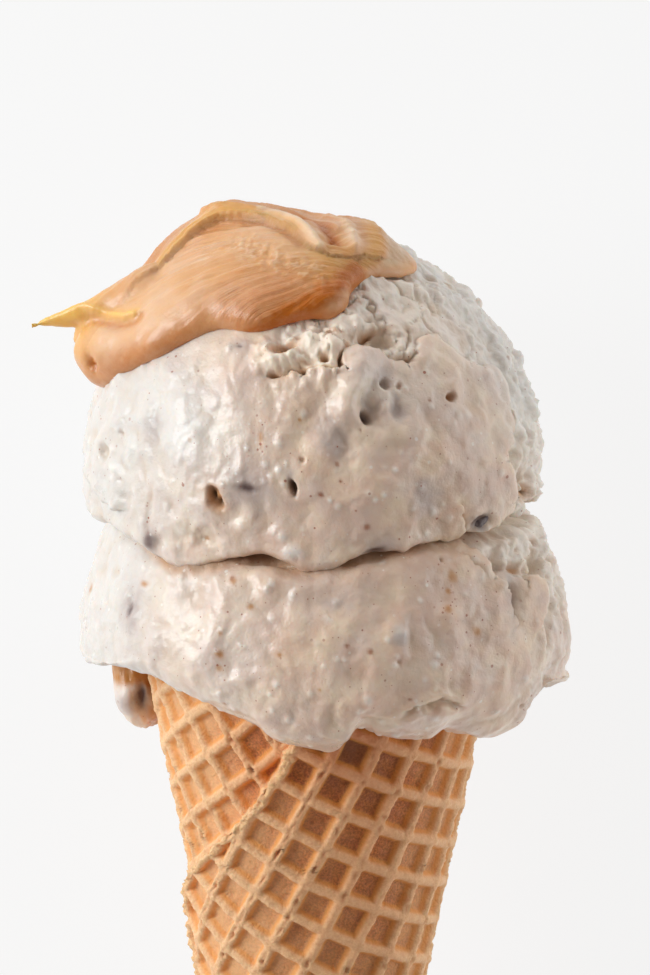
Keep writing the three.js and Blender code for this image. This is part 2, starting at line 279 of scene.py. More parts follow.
def normals_of(obj: Object) -> Floats:
    """An object's vertex normals."""
    flat = np.zeros(len(obj.data.vertices) * 3)
    obj.data.vertices.foreach_get("normal", flat)
    return flat.reshape(-1, 3)


def values_of(obj: Object, name: str) -> Floats:
    """The numbers that an object's vertices hold under a name."""
    flat = np.zeros(len(obj.data.vertices))
    obj.data.attributes[name].data.foreach_get("value", flat)
    return flat


def paint(obj: Object, name: str, values: Floats) -> None:
    """Stores one number for each vertex under a name that a material can read."""
    attribute = obj.data.attributes.new(name, "FLOAT", "POINT")
    attribute.data.foreach_set("value", values.astype(np.float32).ravel())


def ring_grid(points: Floats) -> Shell:
    """Closes a grid of rings into a shell.

    Args:
        points: rows of ring points from one pole to the other; the first and last row shrink
            to one point each.

    Returns:
        The vertices, pole first and pole last, and the faces.
    """
    rows, columns = points.shape[:2]
    first, last = points[0].mean(axis=0), points[-1].mean(axis=0)
    inner = points[1:-1].reshape(-1, 3)
    vertices = np.vstack([first, inner, last])
    faces: list[tuple[int, ...]] = []
    for column in range(columns):
        following = (column + 1) % columns
        faces.append((0, 1 + column, 1 + following))
        for row in range(rows - 3):
            start = 1 + row * columns
            below = start + columns
            faces.append((start + column, below + column, below + following, start + following))
        start = 1 + (rows - 3) * columns
        faces.append((start + column, len(vertices) - 1, start + following))
    return vertices, faces


def joined(parts: Sequence[Shell]) -> Shell:
    """Several shells as one list of vertices and one of faces."""
    faces, count = [], 0
    for vertices, own_faces in parts:
        faces += [tuple(index + count for index in face) for face in own_faces]
        count += len(vertices)
    return np.vstack([vertices for vertices, _ in parts]), faces


def ring_values(values: Floats) -> Floats:
    """Arranges one value for each grid point as ring_grid arranges the vertices."""
    return np.concatenate([[values[0].mean()], values[1:-1].ravel(), [values[-1].mean()]])


def grid_normals(points: Floats) -> Floats:
    """Outward normals of a grid of rings that runs from +Y to -Y with rising azimuth."""
    down = np.gradient(points, axis=0)
    along = np.roll(points, -1, axis=1) - np.roll(points, 1, axis=1)
    normal = np.cross(down, along)
    size = np.linalg.norm(normal, axis=-1, keepdims=True)
    return normal / np.maximum(size, 1e-9)


def soften_rows(points: Floats, passes: int) -> Floats:
    """Rounds the corners of every meridian of a grid of rings."""
    for _ in range(passes):
        points = points.copy()
        points[1:-1] = 0.25 * points[:-2] + 0.5 * points[1:-1] + 0.25 * points[2:]
    return points


def convert(obj: Object) -> None:
    """Replaces an object's mesh by its modifiers' result, and removes them."""
    graph = bpy.context.evaluated_depsgraph_get()
    result = bpy.data.meshes.new_from_object(obj.evaluated_get(graph))
    obj.modifiers.clear()
    obj.data = result
    result.name = obj.name


# ---- node helpers ----


Feed = NodeSocket | float | Sequence[float] | Material | None
Inputs = dict[str | int, Feed]


@dataclass
class Tree:
    """A node tree, with short calls to add and join its nodes."""

    tree: NodeTree

    def add(self, kind: str, inputs: Inputs | None = None, **options: object) -> Node:
        """Adds a node.

        Args:
            kind: the node's type name.
            inputs: a value or another node's output for each input, by name or number.
            **options: the node's own settings.

        Returns:
            The new node.
        """
        node = self.tree.nodes.new(kind)
        for name, value in options.items():
            setattr(node, name, value)
        self.feed(node, inputs or {})
        return node

    def feed(self, node: Node, inputs: Inputs) -> None:
        """Joins a node's inputs to other nodes' outputs, or sets their values."""
        for name, value in inputs.items():
            if isinstance(value, NodeSocket):
                self.tree.links.new(value, node.inputs[name])
            else:
                node.inputs[name].default_value = value

    def use(self, group: NodeTree, inputs: Inputs) -> NodeSocket:
        """Places a shared group and gives its output."""
        return self.add("ShaderNodeGroup", inputs, node_tree=group).outputs[0]

    def math(self, operation: str, first: Feed, second: Feed = None, third: Feed = None) -> NodeSocket:
        """Adds a Math node and gives its output."""
        feeds = {i: v for i, v in enumerate((first, second, third)) if v is not None}
        return self.add("ShaderNodeMath", feeds, operation=operation).outputs[0]

    def times(self, first: Feed, second: Feed) -> NodeSocket:
        """The product of two feeds."""
        return self.math("MULTIPLY", first, second)

    def scaled(self, value: Feed, by: Feed, plus: Feed) -> NodeSocket:
        """A feed times one more, and a third added."""
        return self.math("MULTIPLY_ADD", value, by, plus)

    def rest(self, value: Feed) -> NodeSocket:
        """What a feed leaves of 1."""
        return self.math("SUBTRACT", 1.0, value)

    def noise(self, place: NodeSocket, scale: Feed, detail: float, roughness: float) -> NodeSocket:
        """Adds a Noise texture and gives its output."""
        feeds = {"Vector": place, "Scale": scale, "Detail": detail, "Roughness": roughness}
        return self.add("ShaderNodeTexNoise", feeds).outputs[0]

    def relief(self, height: NodeSocket, strength: float) -> NodeSocket:
        """The normal of a height in metres."""
        feeds = {"Strength": strength, "Distance": 1.0, "Height": height}
        return self.add("ShaderNodeBump", feeds).outputs[0]

    def blend(self, share: Feed, first: Feed, second: Feed) -> NodeSocket:
        """Mixes two colours by a share and gives the result."""
        node = self.add("ShaderNodeMix", data_type="RGBA", blend_type="MIX")
        for socket, value in zip((node.inputs[0], node.inputs[6], node.inputs[7]), (share, first, second)):
            if isinstance(value, NodeSocket):
                self.tree.links.new(value, socket)
            else:
                socket.default_value = (*value, 1.0) if isinstance(value, tuple) else value
        return node.outputs[2]

    def remap(self, value: Feed, low: Feed, high: Feed, start: Feed = 0.0, end: Feed = 1.0) -> NodeSocket:
        """Carries a range smoothly onto another one."""
        feeds: Inputs = {0: value, 1: low, 2: high, 3: start, 4: end}
        return self.add("ShaderNodeMapRange", feeds, interpolation_type="SMOOTHSTEP").outputs[0]

    def read(self, name: str) -> NodeSocket:
        """The number that a piece's vertices hold under a name."""
        return self.add("ShaderNodeAttribute", attribute_name=name).outputs["Fac"]


def new_group(
    name: str, kind: str, inputs: dict[str, float], outputs: Sequence[str]
) -> tuple[Tree, Callable[..., NodeSocket | None]]:
    """Starts a node group with named number inputs and outputs.

    Args:
        name: the group's name.
        kind: the tree's type name.
        inputs: the default of each number input.
        outputs: the names of the number outputs.

    Returns:
        The tree, and a function that gives the inside socket of an input or feeds an output.
    """
    group = bpy.data.node_groups.new(name, kind)
    for label, value in inputs.items():
        socket = group.interface.new_socket(label, in_out="INPUT", socket_type="NodeSocketFloat")
        socket.default_value = value
    for label in outputs:
        group.interface.new_socket(label, in_out="OUTPUT", socket_type="NodeSocketFloat")
    tree = Tree(group)
    entry = tree.add("NodeGroupInput")
    leave = tree.add("NodeGroupOutput")

    def wire(label: str, value: NodeSocket | None = None) -> NodeSocket | None:
        """Feeds the output named label with value, or gives the input of that name."""
        if value is None:
            return entry.outputs[label]
        group.links.new(value, leave.inputs[label])
        return None

    return tree, wire


@dataclass(frozen=True)
class SharedEffects:
    """The shader groups that several finishes use."""

    mottle: NodeTree
    specks: NodeTree
    grain: NodeTree
    threads: NodeTree

    @classmethod
    def build(cls) -> "SharedEffects":
        """Builds the four groups."""
        return cls(cls.build_mottle(), cls.build_specks(), cls.build_grain(), cls.build_threads())

    def mottled(self, tree: Tree, size: float, contrast: float) -> NodeSocket:
        """Soft uneven patches, 0 to 1, in a material's tree."""
        return tree.use(self.mottle, {"Size": size, "Contrast": contrast})

    def dotted(
        self, tree: Tree, spacing: float, radius: float, share: float, shift: float = 0.0
    ) -> NodeSocket:
        """Scattered round dots, 0 to 1, in a material's tree."""
        inputs = {"Spacing": spacing, "Radius": radius, "Share": share, "Shift": shift}
        return tree.use(self.specks, inputs)

    def grained(self, tree: Tree, size: float, height: float) -> NodeSocket:
        """Fine roughness as a height in metres, in a material's tree."""
        return tree.use(self.grain, {"Size": size, "Height": height})

    @staticmethod
    def build_mottle() -> NodeTree:
        """Soft uneven patches, 0 to 1, of a given size in millimetres."""
        tree, wire = new_group("Mottle", "ShaderNodeTree", {"Size": 6.0, "Contrast": 1.0}, ("Patches",))
        place = tree.add("ShaderNodeTexCoord").outputs["Object"]
        rate = tree.math("DIVIDE", PER_METRE, wire("Size"))
        noise = tree.noise(place, rate, 3.0, 0.55)
        spread = tree.math("DIVIDE", 0.16, tree.times(wire("Contrast"), 0.5))
        low, high = tree.math("SUBTRACT", 0.5, spread), tree.math("ADD", 0.5, spread)
        wire("Patches", tree.remap(noise, low, high))
        return tree.tree

    @staticmethod
    def build_specks() -> NodeTree:
        """Scattered round dots as a mask: how far apart, how large and how many of them show."""
        inputs = {"Spacing": 2.0, "Radius": 0.2, "Share": 0.5, "Shift": 0.0}
        tree, wire = new_group("Specks", "ShaderNodeTree", inputs, ("Dots",))
        place = tree.add("ShaderNodeTexCoord").outputs["Object"]
        shift = tree.add("ShaderNodeCombineXYZ", {0: wire("Shift"), 1: wire("Shift"), 2: wire("Shift")})
        moved = tree.add("ShaderNodeVectorMath", {0: place, 1: shift.outputs[0]}, operation="ADD")
        rate = tree.math("DIVIDE", PER_METRE, wire("Spacing"))
        cells = tree.add("ShaderNodeTexVoronoi", {"Vector": moved.outputs[0], "Scale": rate})
        luck = tree.add("ShaderNodeSeparateColor", {0: cells.outputs["Color"]})
        edge = tree.math("DIVIDE", wire("Radius"), wire("Spacing"))
        size = tree.times(edge, tree.math("ADD", 0.5, luck.outputs[1]))
        inside = tree.remap(cells.outputs["Distance"], tree.times(size, 0.6), size, 1.0, 0.0)
        shown = tree.math("LESS_THAN", luck.outputs[0], wire("Share"))
        wire("Dots", tree.times(inside, shown))
        return tree.tree

    @staticmethod
    def build_grain() -> NodeTree:
        """Fine roughness as a height in metres, for a Bump node."""
        tree, wire = new_group("Grain", "ShaderNodeTree", {"Size": 0.5, "Height": 0.05}, ("Relief",))
        place = tree.add("ShaderNodeTexCoord").outputs["Object"]
        rate = tree.math("DIVIDE", PER_METRE, wire("Size"))
        noise = tree.noise(place, rate, 4.0, 0.6)
        wire("Relief", tree.times(noise, tree.times(wire("Height"), MM)))
        return tree.tree

    @staticmethod
    def build_threads() -> NodeTree:
        """Fine streaks, 0 to 1, of a given width along a flow, from millimetres along and across it."""
        inputs = {"Along": 0.0, "Across": 0.0, "Width": 0.5}
        tree, wire = new_group("Threads", "ShaderNodeTree", inputs, ("Streaks",))
        across = tree.math("DIVIDE", wire("Across"), wire("Width"))
        along = tree.math("DIVIDE", wire("Along"), tree.times(wire("Width"), 11.0))
        place = tree.add("ShaderNodeCombineXYZ", {0: along, 1: across}).outputs[0]
        wire("Streaks", tree.remap(tree.noise(place, 1.0, 3.0, 0.6), 0.32, 0.68))
        return tree.tree


def new_material(name: str) -> tuple[Tree, Node, Material]:
    """Starts a material with its shader and gives its tree, the shader node and itself."""
    material = bpy.data.materials.new(name)
    material.use_nodes = True
    return Tree(material.node_tree), material.node_tree.nodes["Principled BSDF"], material


# ---- finishes ----


@dataclass(frozen=True)
class IceCreamFinish:
    """Melting ice cream: beige with paler patches, specks, caramel stains and chips under the skin, painted
    shade in hollows and under the upper lip, and a painted paler side where the light falls.
    """

    name: str = "melting_ice_cream"
    beige: Colour = (0.80, 0.60, 0.455)
    pale: Colour = (0.84, 0.69, 0.57)
    rosy: Colour = (0.77, 0.50, 0.37)
    # the torn cream's pale tone, lifted to also stand in for light from behind on the torn right side
    torn_pale_and_backlight: Colour = (0.90, 0.85, 0.77)
    lilac: Colour = (0.61, 0.485, 0.445)
    cream: Colour = (0.88, 0.72, 0.54)
    # painted light: the pale colour painted where the key light falls and on the far right, lit from behind
    painted_light: Colour = (0.71, 0.685, 0.65)
    # caramel stains, and painted shadow in the crease under the upper lip
    amber: Colour = (0.52, 0.22, 0.05)
    # dark brown in holes, and painted shadow in the crease under the upper lip and beside the cone
    brown: Colour = (0.16, 0.075, 0.022)
    rusty: Colour = (0.34, 0.115, 0.05)
    dough: Colour = (0.93, 0.76, 0.60)
    # grey-violet ring over chips under the skin; also painted shade below the upper lip
    halo: Colour = (0.46, 0.375, 0.35)
    chip: Colour = (0.12, 0.065, 0.06)
    speck: Colour = (0.38, 0.11, 0.06)
    # painted shade: the darker beige of hollows, creases, cracks and the feet of overlapping edges
    hollow: Colour = (0.66, 0.50, 0.36)
    white: Colour = (0.88, 0.84, 0.79)
    roughness: float = 0.31

    def build(self, effects: SharedEffects) -> Material:
        """Builds the material."""
        tree, shader, material = new_material(self.name)
        broad = effects.mottled(tree, 9.0, 1.3)
        close = effects.mottled(tree, 2.6, 1.2)
        colour = tree.blend(broad, self.beige, self.pale)
        patches = effects.mottled(tree, 5.2, 2.0)
        grey = effects.mottled(tree, 6.7, 2.0)
        milky = effects.mottled(tree, 3.7, 2.2)
        colour = tree.blend(tree.times(close, 0.3), colour, self.rosy)
        colour = tree.blend(tree.times(patches, 0.6), colour, self.rosy)
        colour = tree.blend(tree.times(tree.rest(grey), 0.42), colour, self.lilac)
        colour = tree.blend(tree.times(tree.times(milky, grey), 0.6), colour, self.cream)
        # the torn cream's own paler tone, partly painted light from behind
        colour = tree.blend(tree.times(tree.read("torn"), 0.72), colour, self.torn_pale_and_backlight)
        # painted light: blends in the paler colour where the key light and the light from behind fall
        colour = tree.blend(tree.read("painted_light"), colour, self.painted_light)
        # some of these masks paint shade: in hollows and creases, and under the upper lip
        stains = (("hollow", 0.6), ("white", 0.7), ("dough", 0.75), ("halo", 0.7), ("amber", 0.85))
        stains += (("brown", 0.95), ("rusty", 0.9), ("chip", 0.9))
        for mask, strength in stains:
            uneven = tree.times(tree.read(mask), tree.scaled(close, 0.35, 0.75))
            share = tree.math("MINIMUM", tree.times(uneven, strength), 1.0)
            colour = tree.blend(share, colour, getattr(self, mask))
        specks = effects.dotted(tree, 1.9, 0.21, 0.45)
        fine = effects.dotted(tree, 0.8, 0.11, 0.3, 0.4)
        both = tree.math("MAXIMUM", specks, fine)
        colour = tree.blend(tree.times(both, tree.scaled(broad, 0.6, 0.3)), colour, self.speck)
        crowd = effects.dotted(tree, 0.75, 0.17, 0.9, 0.7)
        tint = tree.times(tree.read("specked"), tree.times(close, 0.3))
        colour = tree.blend(tint, colour, self.amber)
        colour = tree.blend(tree.times(crowd, tree.read("specked")), colour, self.speck)
        dabs = effects.dotted(tree, 1.5, 0.24, 0.3, 0.2)
        colour = tree.blend(tree.times(dabs, tree.scaled(milky, 0.5, 0.15)), colour, self.white)
        rough = tree.scaled(close, 0.14, self.roughness - 0.05)
        grain = effects.grained(tree, 0.45, 0.07)
        lumps = effects.grained(tree, 1.8, 0.2)
        surface: Inputs = {
            "Base Color": colour,
            "Roughness": tree.scaled(tree.read("torn"), 0.2, rough),
            "Normal": tree.relief(tree.math("ADD", grain, lumps), 0.7),
            "Subsurface Weight": 0.38,
            "Subsurface Radius": (1.0, 0.62, 0.42),
            "Subsurface Scale": 0.001,
            "IOR": 1.4,
            "Coat Weight": 0.32,
            "Coat Roughness": 0.19,
        }
        tree.feed(shader, surface)
        return material


@dataclass(frozen=True)
class SpreadFinish:
    """Smooth nut spread: glossy tan with oily darker folds and painted shade, painted highlights on its
    crests and yellow thin edges.
    """

    name: str = "nut_spread"
    tan: Colour = (0.76, 0.39, 0.155)
    peach: Colour = (0.77, 0.48, 0.29)
    # deep: the oily darker spread, its specks and streak valleys, and painted shade where the deep mask says
    deep: Colour = (0.52, 0.13, 0.0)
    # light: pale streaks, and painted highlights and reflection where the light mask says
    light: Colour = (0.88, 0.64, 0.44)
    thin: Colour = (0.95, 0.58, 0.13)
    film: Colour = (0.62, 0.45, 0.28)
    roughness: float = 0.35

    def build(self, effects: SharedEffects) -> Material:
        """Builds the material."""
        tree, shader, material = new_material(self.name)
        broad = effects.mottled(tree, 7.0, 1.1)
        close = effects.mottled(tree, 1.1, 1.4)
        flow = {"Along": tree.read("along"), "Across": tree.read("across")}
        coarse = tree.use(effects.threads, {**flow, "Width": 1.3})
        fine = tree.use(effects.threads, {**flow, "Width": 0.4})
        drawn = tree.read("drawn")
        colour = tree.blend(broad, self.tan, self.peach)
        stripes = tree.times(tree.scaled(coarse, 0.6, tree.times(fine, 0.4)), drawn)
        colour = tree.blend(tree.times(tree.math("SUBTRACT", drawn, stripes), 0.3), colour, self.deep)
        colour = tree.blend(tree.times(tree.remap(stripes, 0.5, 0.9), 0.55), colour, self.light)
        # deep paints shade and light paints highlights and reflection, besides the spread's own colours
        for mask in ("film", "thin", "deep", "light"):
            share = tree.times(tree.read(mask), tree.scaled(close, 0.3, 0.85))
            colour = tree.blend(tree.math("MINIMUM", share, 1.0), colour, getattr(self, mask))
        specks = effects.dotted(tree, 1.3, 0.1, 0.22)
        colour = tree.blend(tree.times(specks, 0.4), colour, self.deep)
        grain = effects.grained(tree, 0.35, 0.06)
        bumps = effects.grained(tree, 0.9, 0.08)
        height = tree.scaled(stripes, 0.2 * MM, tree.math("ADD", grain, bumps))
        surface: Inputs = {
            "Base Color": colour,
            "Roughness": tree.scaled(close, 0.14, self.roughness - 0.05),
            "Normal": tree.relief(height, 0.8),
            "Subsurface Weight": 0.28,
            "Subsurface Radius": (1.0, 0.45, 0.15),
            "Subsurface Scale": 0.0013,
            "IOR": 1.45,
            "Coat Weight": 0.25,
            "Coat Roughness": 0.22,
        }
        tree.feed(shader, surface)
        return material


@dataclass(frozen=True)
class WaferFinish:
    """Baked wafer: pale tan ribs with golden flanks over browner freckled floors, darker where baked more and
    with painted shadow under the skirt.
    """

    name: str = "baked_wafer"
    rib: Colour = (0.96, 0.60, 0.32)
    dusty: Colour = (0.92, 0.49, 0.245)
    golden: Colour = (0.90, 0.37, 0.07)
    floor: Colour = (0.82, 0.33, 0.14)
    toasted: Colour = (0.63, 0.20, 0.07)
    pale: Colour = (0.95, 0.62, 0.32)
    freckle: Colour = (0.17, 0.05, 0.012)
    crumb: Colour = (0.95, 0.63, 0.32)
    roughness: float = 0.6

    def build(self, effects: SharedEffects) -> Material:
        """Builds the material."""
        tree, shader, material = new_material(self.name)
        broad = effects.mottled(tree, 8.0, 1.3)
        close = effects.mottled(tree, 1.5, 1.4)
        fine = effects.mottled(tree, 0.34, 2.8)
        baked = tree.scaled(tree.math("SUBTRACT", broad, 0.5), 0.3, tree.read("baked"))
        # Past 1 the bake blends towards freckle and toasted: deeper bake and painted shadow under the skirt.
        overbake_and_skirt_shadow = tree.math("SUBTRACT", baked, 1.0)
        baked = tree.math("MINIMUM", tree.math("MAXIMUM", baked, 0.0), 1.0)
        height = tree.read("rib")
        floor = tree.blend(baked, self.floor, self.toasted)
        floor = tree.blend(tree.times(close, 0.3), floor, self.golden)
        dots = effects.dotted(tree, 0.5, 0.18, 0.8)
        dotted = tree.math("MAXIMUM", tree.times(fine, 0.55), tree.times(dots, 0.7))
        floor = tree.blend(tree.times(dotted, tree.scaled(baked, 0.45, 0.3)), floor, self.freckle)
        pale = tree.times(tree.rest(baked), 0.55)
        floor = tree.blend(pale, floor, self.pale)
        floor = tree.blend(overbake_and_skirt_shadow, floor, self.freckle)
        rib = tree.blend(tree.times(baked, 0.9), self.rib, self.dusty)
        rib = tree.blend(tree.times(dotted, 0.35), rib, self.toasted)
        rib = tree.blend(overbake_and_skirt_shadow, rib, self.toasted)
        flank = tree.times(tree.remap(height, 0.02, 0.3), tree.remap(height, 0.45, 0.9, 1.0, 0.0))
        colour = tree.blend(tree.remap(height, 0.25, 0.85), floor, rib)
        colour = tree.blend(tree.times(flank, 0.6), colour, self.golden)
        edge = tree.read("edge")
        colour = tree.blend(tree.times(edge, tree.scaled(close, 0.5, 0.3)), colour, self.crumb)
        colour = tree.blend(tree.times(tree.times(edge, dotted), 0.4), colour, self.toasted)
        colour = tree.blend(tree.times(tree.read("rim"), 0.5), colour, self.crumb)
        colour = tree.blend(tree.times(tree.read("pit"), 0.75), colour, self.toasted)
        grain = effects.grained(tree, 0.34, 0.26)
        pores = effects.grained(tree, 0.8, 0.26)
        surface: Inputs = {
            "Base Color": colour,
            "Roughness": tree.scaled(close, 0.2, self.roughness - 0.1),
            "Normal": tree.relief(tree.math("ADD", grain, pores), 0.8),
            "Subsurface Weight": 0.12,
            "Subsurface Radius": (1.0, 0.5, 0.2),
            "Subsurface Scale": 0.0015,
        }
        tree.feed(shader, surface)
        return material


@dataclass(frozen=True)
class ChipFinish:
    """Dark chocolate chip with a grey-violet bloom of melted cream."""

    name: str = "dark_chip"
    dark: Colour = (0.045, 0.028, 0.03)
    bloom: Colour = (0.22, 0.175, 0.17)
    roughness: float = 0.42

    def build(self, effects: SharedEffects) -> Material:
        """Builds the material."""
        tree, shader, material = new_material(self.name)
        patches = effects.mottled(tree, 1.2, 1.4)
        colour = tree.blend(patches, self.dark, self.bloom)
        grain = effects.grained(tree, 0.4, 0.08)
        surface: Inputs = {
            "Base Color": colour,
            "Roughness": self.roughness,
            "Normal": tree.relief(grain, 0.6),
        }
        tree.feed(shader, surface)
        return material


# ---- features that are placed on a scoop ----


class Stain(Enum):
    """What a feature does to the colour under it."""

    NONE = "none"
    # caramel stains, and painted shadow in the crease under the upper lip
    AMBER = "amber"
    DOUGH = "dough"
    # grey-violet ring over chips, and painted shade below the upper lip
    HALO = "halo"
    CHIP = "chip"
    # painted shade in hollows, creases, cracks and under overlapping edges
    HOLLOW = "hollow"
    WHITE = "white"
    # dark brown in holes, and painted shadow in the crease and beside the cone
    BROWN = "brown"
    SPECKED = "specked"
    RUSTY = "rusty"


class Fold(Enum):
    """The cross-section of a line on a scoop."""

    CREASE = "crease"
    RIDGE = "ridge"
    FLAP = "flap"


@dataclass(frozen=True)
class Mark:
    """A dent or lump: its stain, azimuth and latitude, and length, width and height in millimetres.

    Turn is the angle of its length, edge how steep its rim is and spread how far the stain reaches.
    """

    stain: Stain
    azimuth: float
    latitude: float
    length: float
    width: float
    height: float
    turn: float = 0.0
    edge: float = 2.0
    spread: float = 1.0

    def reach(self, azimuth: Floats, latitude: Floats, radius: float) -> Floats:
        """The distance from the mark's middle, 1 at its rim."""
        x = radius * math.cos(math.radians(self.latitude)) * np.radians(turn_between(azimuth, self.azimuth))
        y = radius * np.radians(latitude - self.latitude)
        turn = math.radians(self.turn)
        along = x * math.cos(turn) + y * math.sin(turn)
        across = y * math.cos(turn) - x * math.sin(turn)
        return np.hypot(along / (self.length / 2), across / (self.width / 2))


@dataclass(frozen=True)
class Line:
    """A crease, ridge or overlapping edge through points of azimuth and latitude.

    Its height is in millimetres and its width is that of its slope. A flap lies on the left of
    the line's heading and ends at it; it is that thick over behind millimetres and leans out over
    what it covers by lean.
    """

    points: Path
    form: Fold
    height: float
    width: float
    stain: Stain = Stain.NONE
    behind: float = 5.0
    lean: float = 0.5

    def measure(self, azimuth: Floats, latitude: Floats, radius: float) -> tuple[Floats, ...]:
        """Measures places against the line, as beside does, with the line's length as well."""
        points = np.array(self.points)
        middle = points.mean(axis=0)
        scale = radius * math.radians(1.0)
        squeeze = math.cos(math.radians(middle[1]))
        path = (points - middle) * (scale * squeeze, scale)
        x, y = scale * squeeze * turn_between(azimuth, middle[0]), scale * (latitude - middle[1])
        return *beside(x, y, path), np.linalg.norm(np.diff(path, axis=0), axis=1).sum()

    def profile(self, azimuth: Floats, latitude: Floats, radius: float) -> tuple[Floats, ...]:
        """The line's relief and how near each place is to it.

        Args:
            azimuth: azimuths in degrees.
            latitude: latitudes in degrees.
            radius: the scoop's radius.

        Returns:
            The height, a nearness from 0 to 1, and the shifts to the east and to the north, with
            lengths in millimetres.
        """
        signed, place, east, north, total = self.measure(azimuth, latitude, radius)
        taper = ease(place, -0.02, 0.16) * ease(1 - place, -0.02, 0.16)
        beyond = np.maximum(np.abs(signed) - 0.3 * total - 2.0, 0)
        taper *= bump(beyond, 0.3 * total)
        if self.form is Fold.FLAP:
            shape = ease(signed, -0.15, 0.25) * np.exp(-np.maximum(signed, 0) / self.behind)
            shape -= 0.4 * (1 - ease(signed, -0.2, 0.1)) * bump(signed, 2.5 * self.width)
            shift = self.lean * taper * bump(signed - 0.1, 0.7)
            near = taper * bump(signed + 0.2, self.width)
            return self.height * taper * shape, near, east * shift, north * shift
        shape = bump(signed, self.width)
        near = taper * shape
        if self.form is Fold.CREASE:
            shape = 0.3 * bump(np.abs(signed) - 1.9 * self.width, self.width) - shape
        return self.height * taper * shape, near, 0 * east, 0 * north

    def bare(self, place: Place, radius: float, relief: "Relief", strength: Floats) -> Floats:
        """Ends the melted skin at this line, in a rolled edge over the torn cream on its right.

        Args:
            place: azimuths and latitudes in degrees.
            radius: the scoop's radius.
            relief: takes the height, the shifts and the stain of the shadowed foot.
            strength: how strongly the edge shows at each place, 0 to 1.

        Returns:
            Where the skin is missing, 0 to 1.
        """
        signed, run, east, north, _ = self.measure(*place, radius)
        taper = strength * ease(run, 0.0, 0.04) * ease(1 - run, 0.0, 0.04)
        bare = 1 - ease(signed, -0.25, 0.1)
        fall = 0.25 + 0.75 * np.exp(np.minimum(signed, 0) / self.behind)
        rolled = 0.3 * (1 - bare) * bump(signed - 0.8, self.width)
        relief.height += self.height * taper * (rolled - bare * fall)
        shift = self.lean * taper * bump(signed - 0.1, 0.8)
        relief.east += east * shift
        relief.north += north * shift
        relief.stain(self.stain, taper * bump(signed + 0.5, 0.6))
        return bare * strength


@dataclass(frozen=True)
class Patch:
    """A soft patch on a scoop: its strength, azimuth and latitude, and its width and height in degrees."""

    strength: float
    azimuth: float
    latitude: float
    wide: float
    high: float

    def at(self, azimuth: Floats, latitude: Floats) -> Floats:
        """How strong the patch is at each place."""
        side = facing(azimuth, self.azimuth, self.wide)
        return self.strength * side * bump(latitude - self.latitude, self.high)


def spots(*rows: tuple[float, ...]) -> tuple[Patch, ...]:
    """Patches from rows of their numbers in the order of Patch's fields."""
    return tuple(Patch(*row) for row in rows)


def strongest(patches: Sequence[Patch], azimuth: Floats, latitude: Floats) -> Floats:
    """The strength of the strongest patch at each place."""
    return np.maximum.reduce([patch.at(azimuth, latitude) for patch in patches])


@dataclass
class Relief:
    """The height, the sideways shifts, the stains and the painted shade that features give a scoop's surface.
    """

    height: Floats
    east: Floats
    north: Floats
    stains: dict[Stain, Floats]

    @classmethod
    def flat(cls, shape: tuple[int, ...]) -> "Relief":
        """A relief without anything on it."""
        return cls(*np.zeros((3, *shape)), {stain: np.zeros(shape) for stain in Stain})

    def press(self, marks: Sequence[Mark], place: Place, radius: float, wobble: Floats) -> None:
        """Adds dents and lumps, whose outlines wobble."""
        for mark in marks:
            reach = mark.reach(*place, radius) * (1 + 0.28 * wobble)
            self.height += mark.height * np.exp(-(reach**mark.edge))
            self.stain(mark.stain, np.exp(-((reach / mark.spread) ** 3)))

    def draw(self, lines: Sequence[Line], place: Place, radius: float) -> None:
        """Adds creases, ridges and flaps."""
        for line in lines:
            height, near, east, north = line.profile(*place, radius)
            self.height += height
            self.east += east
            self.north += north
            self.stain(line.stain, near)

    def stain(self, stain: Stain, share: Floats) -> None:
        """Adds a stain or painted shade where share is above 0."""
        self.stains[stain] = np.maximum(self.stains[stain], share)


# ---- the rolled wafer ----


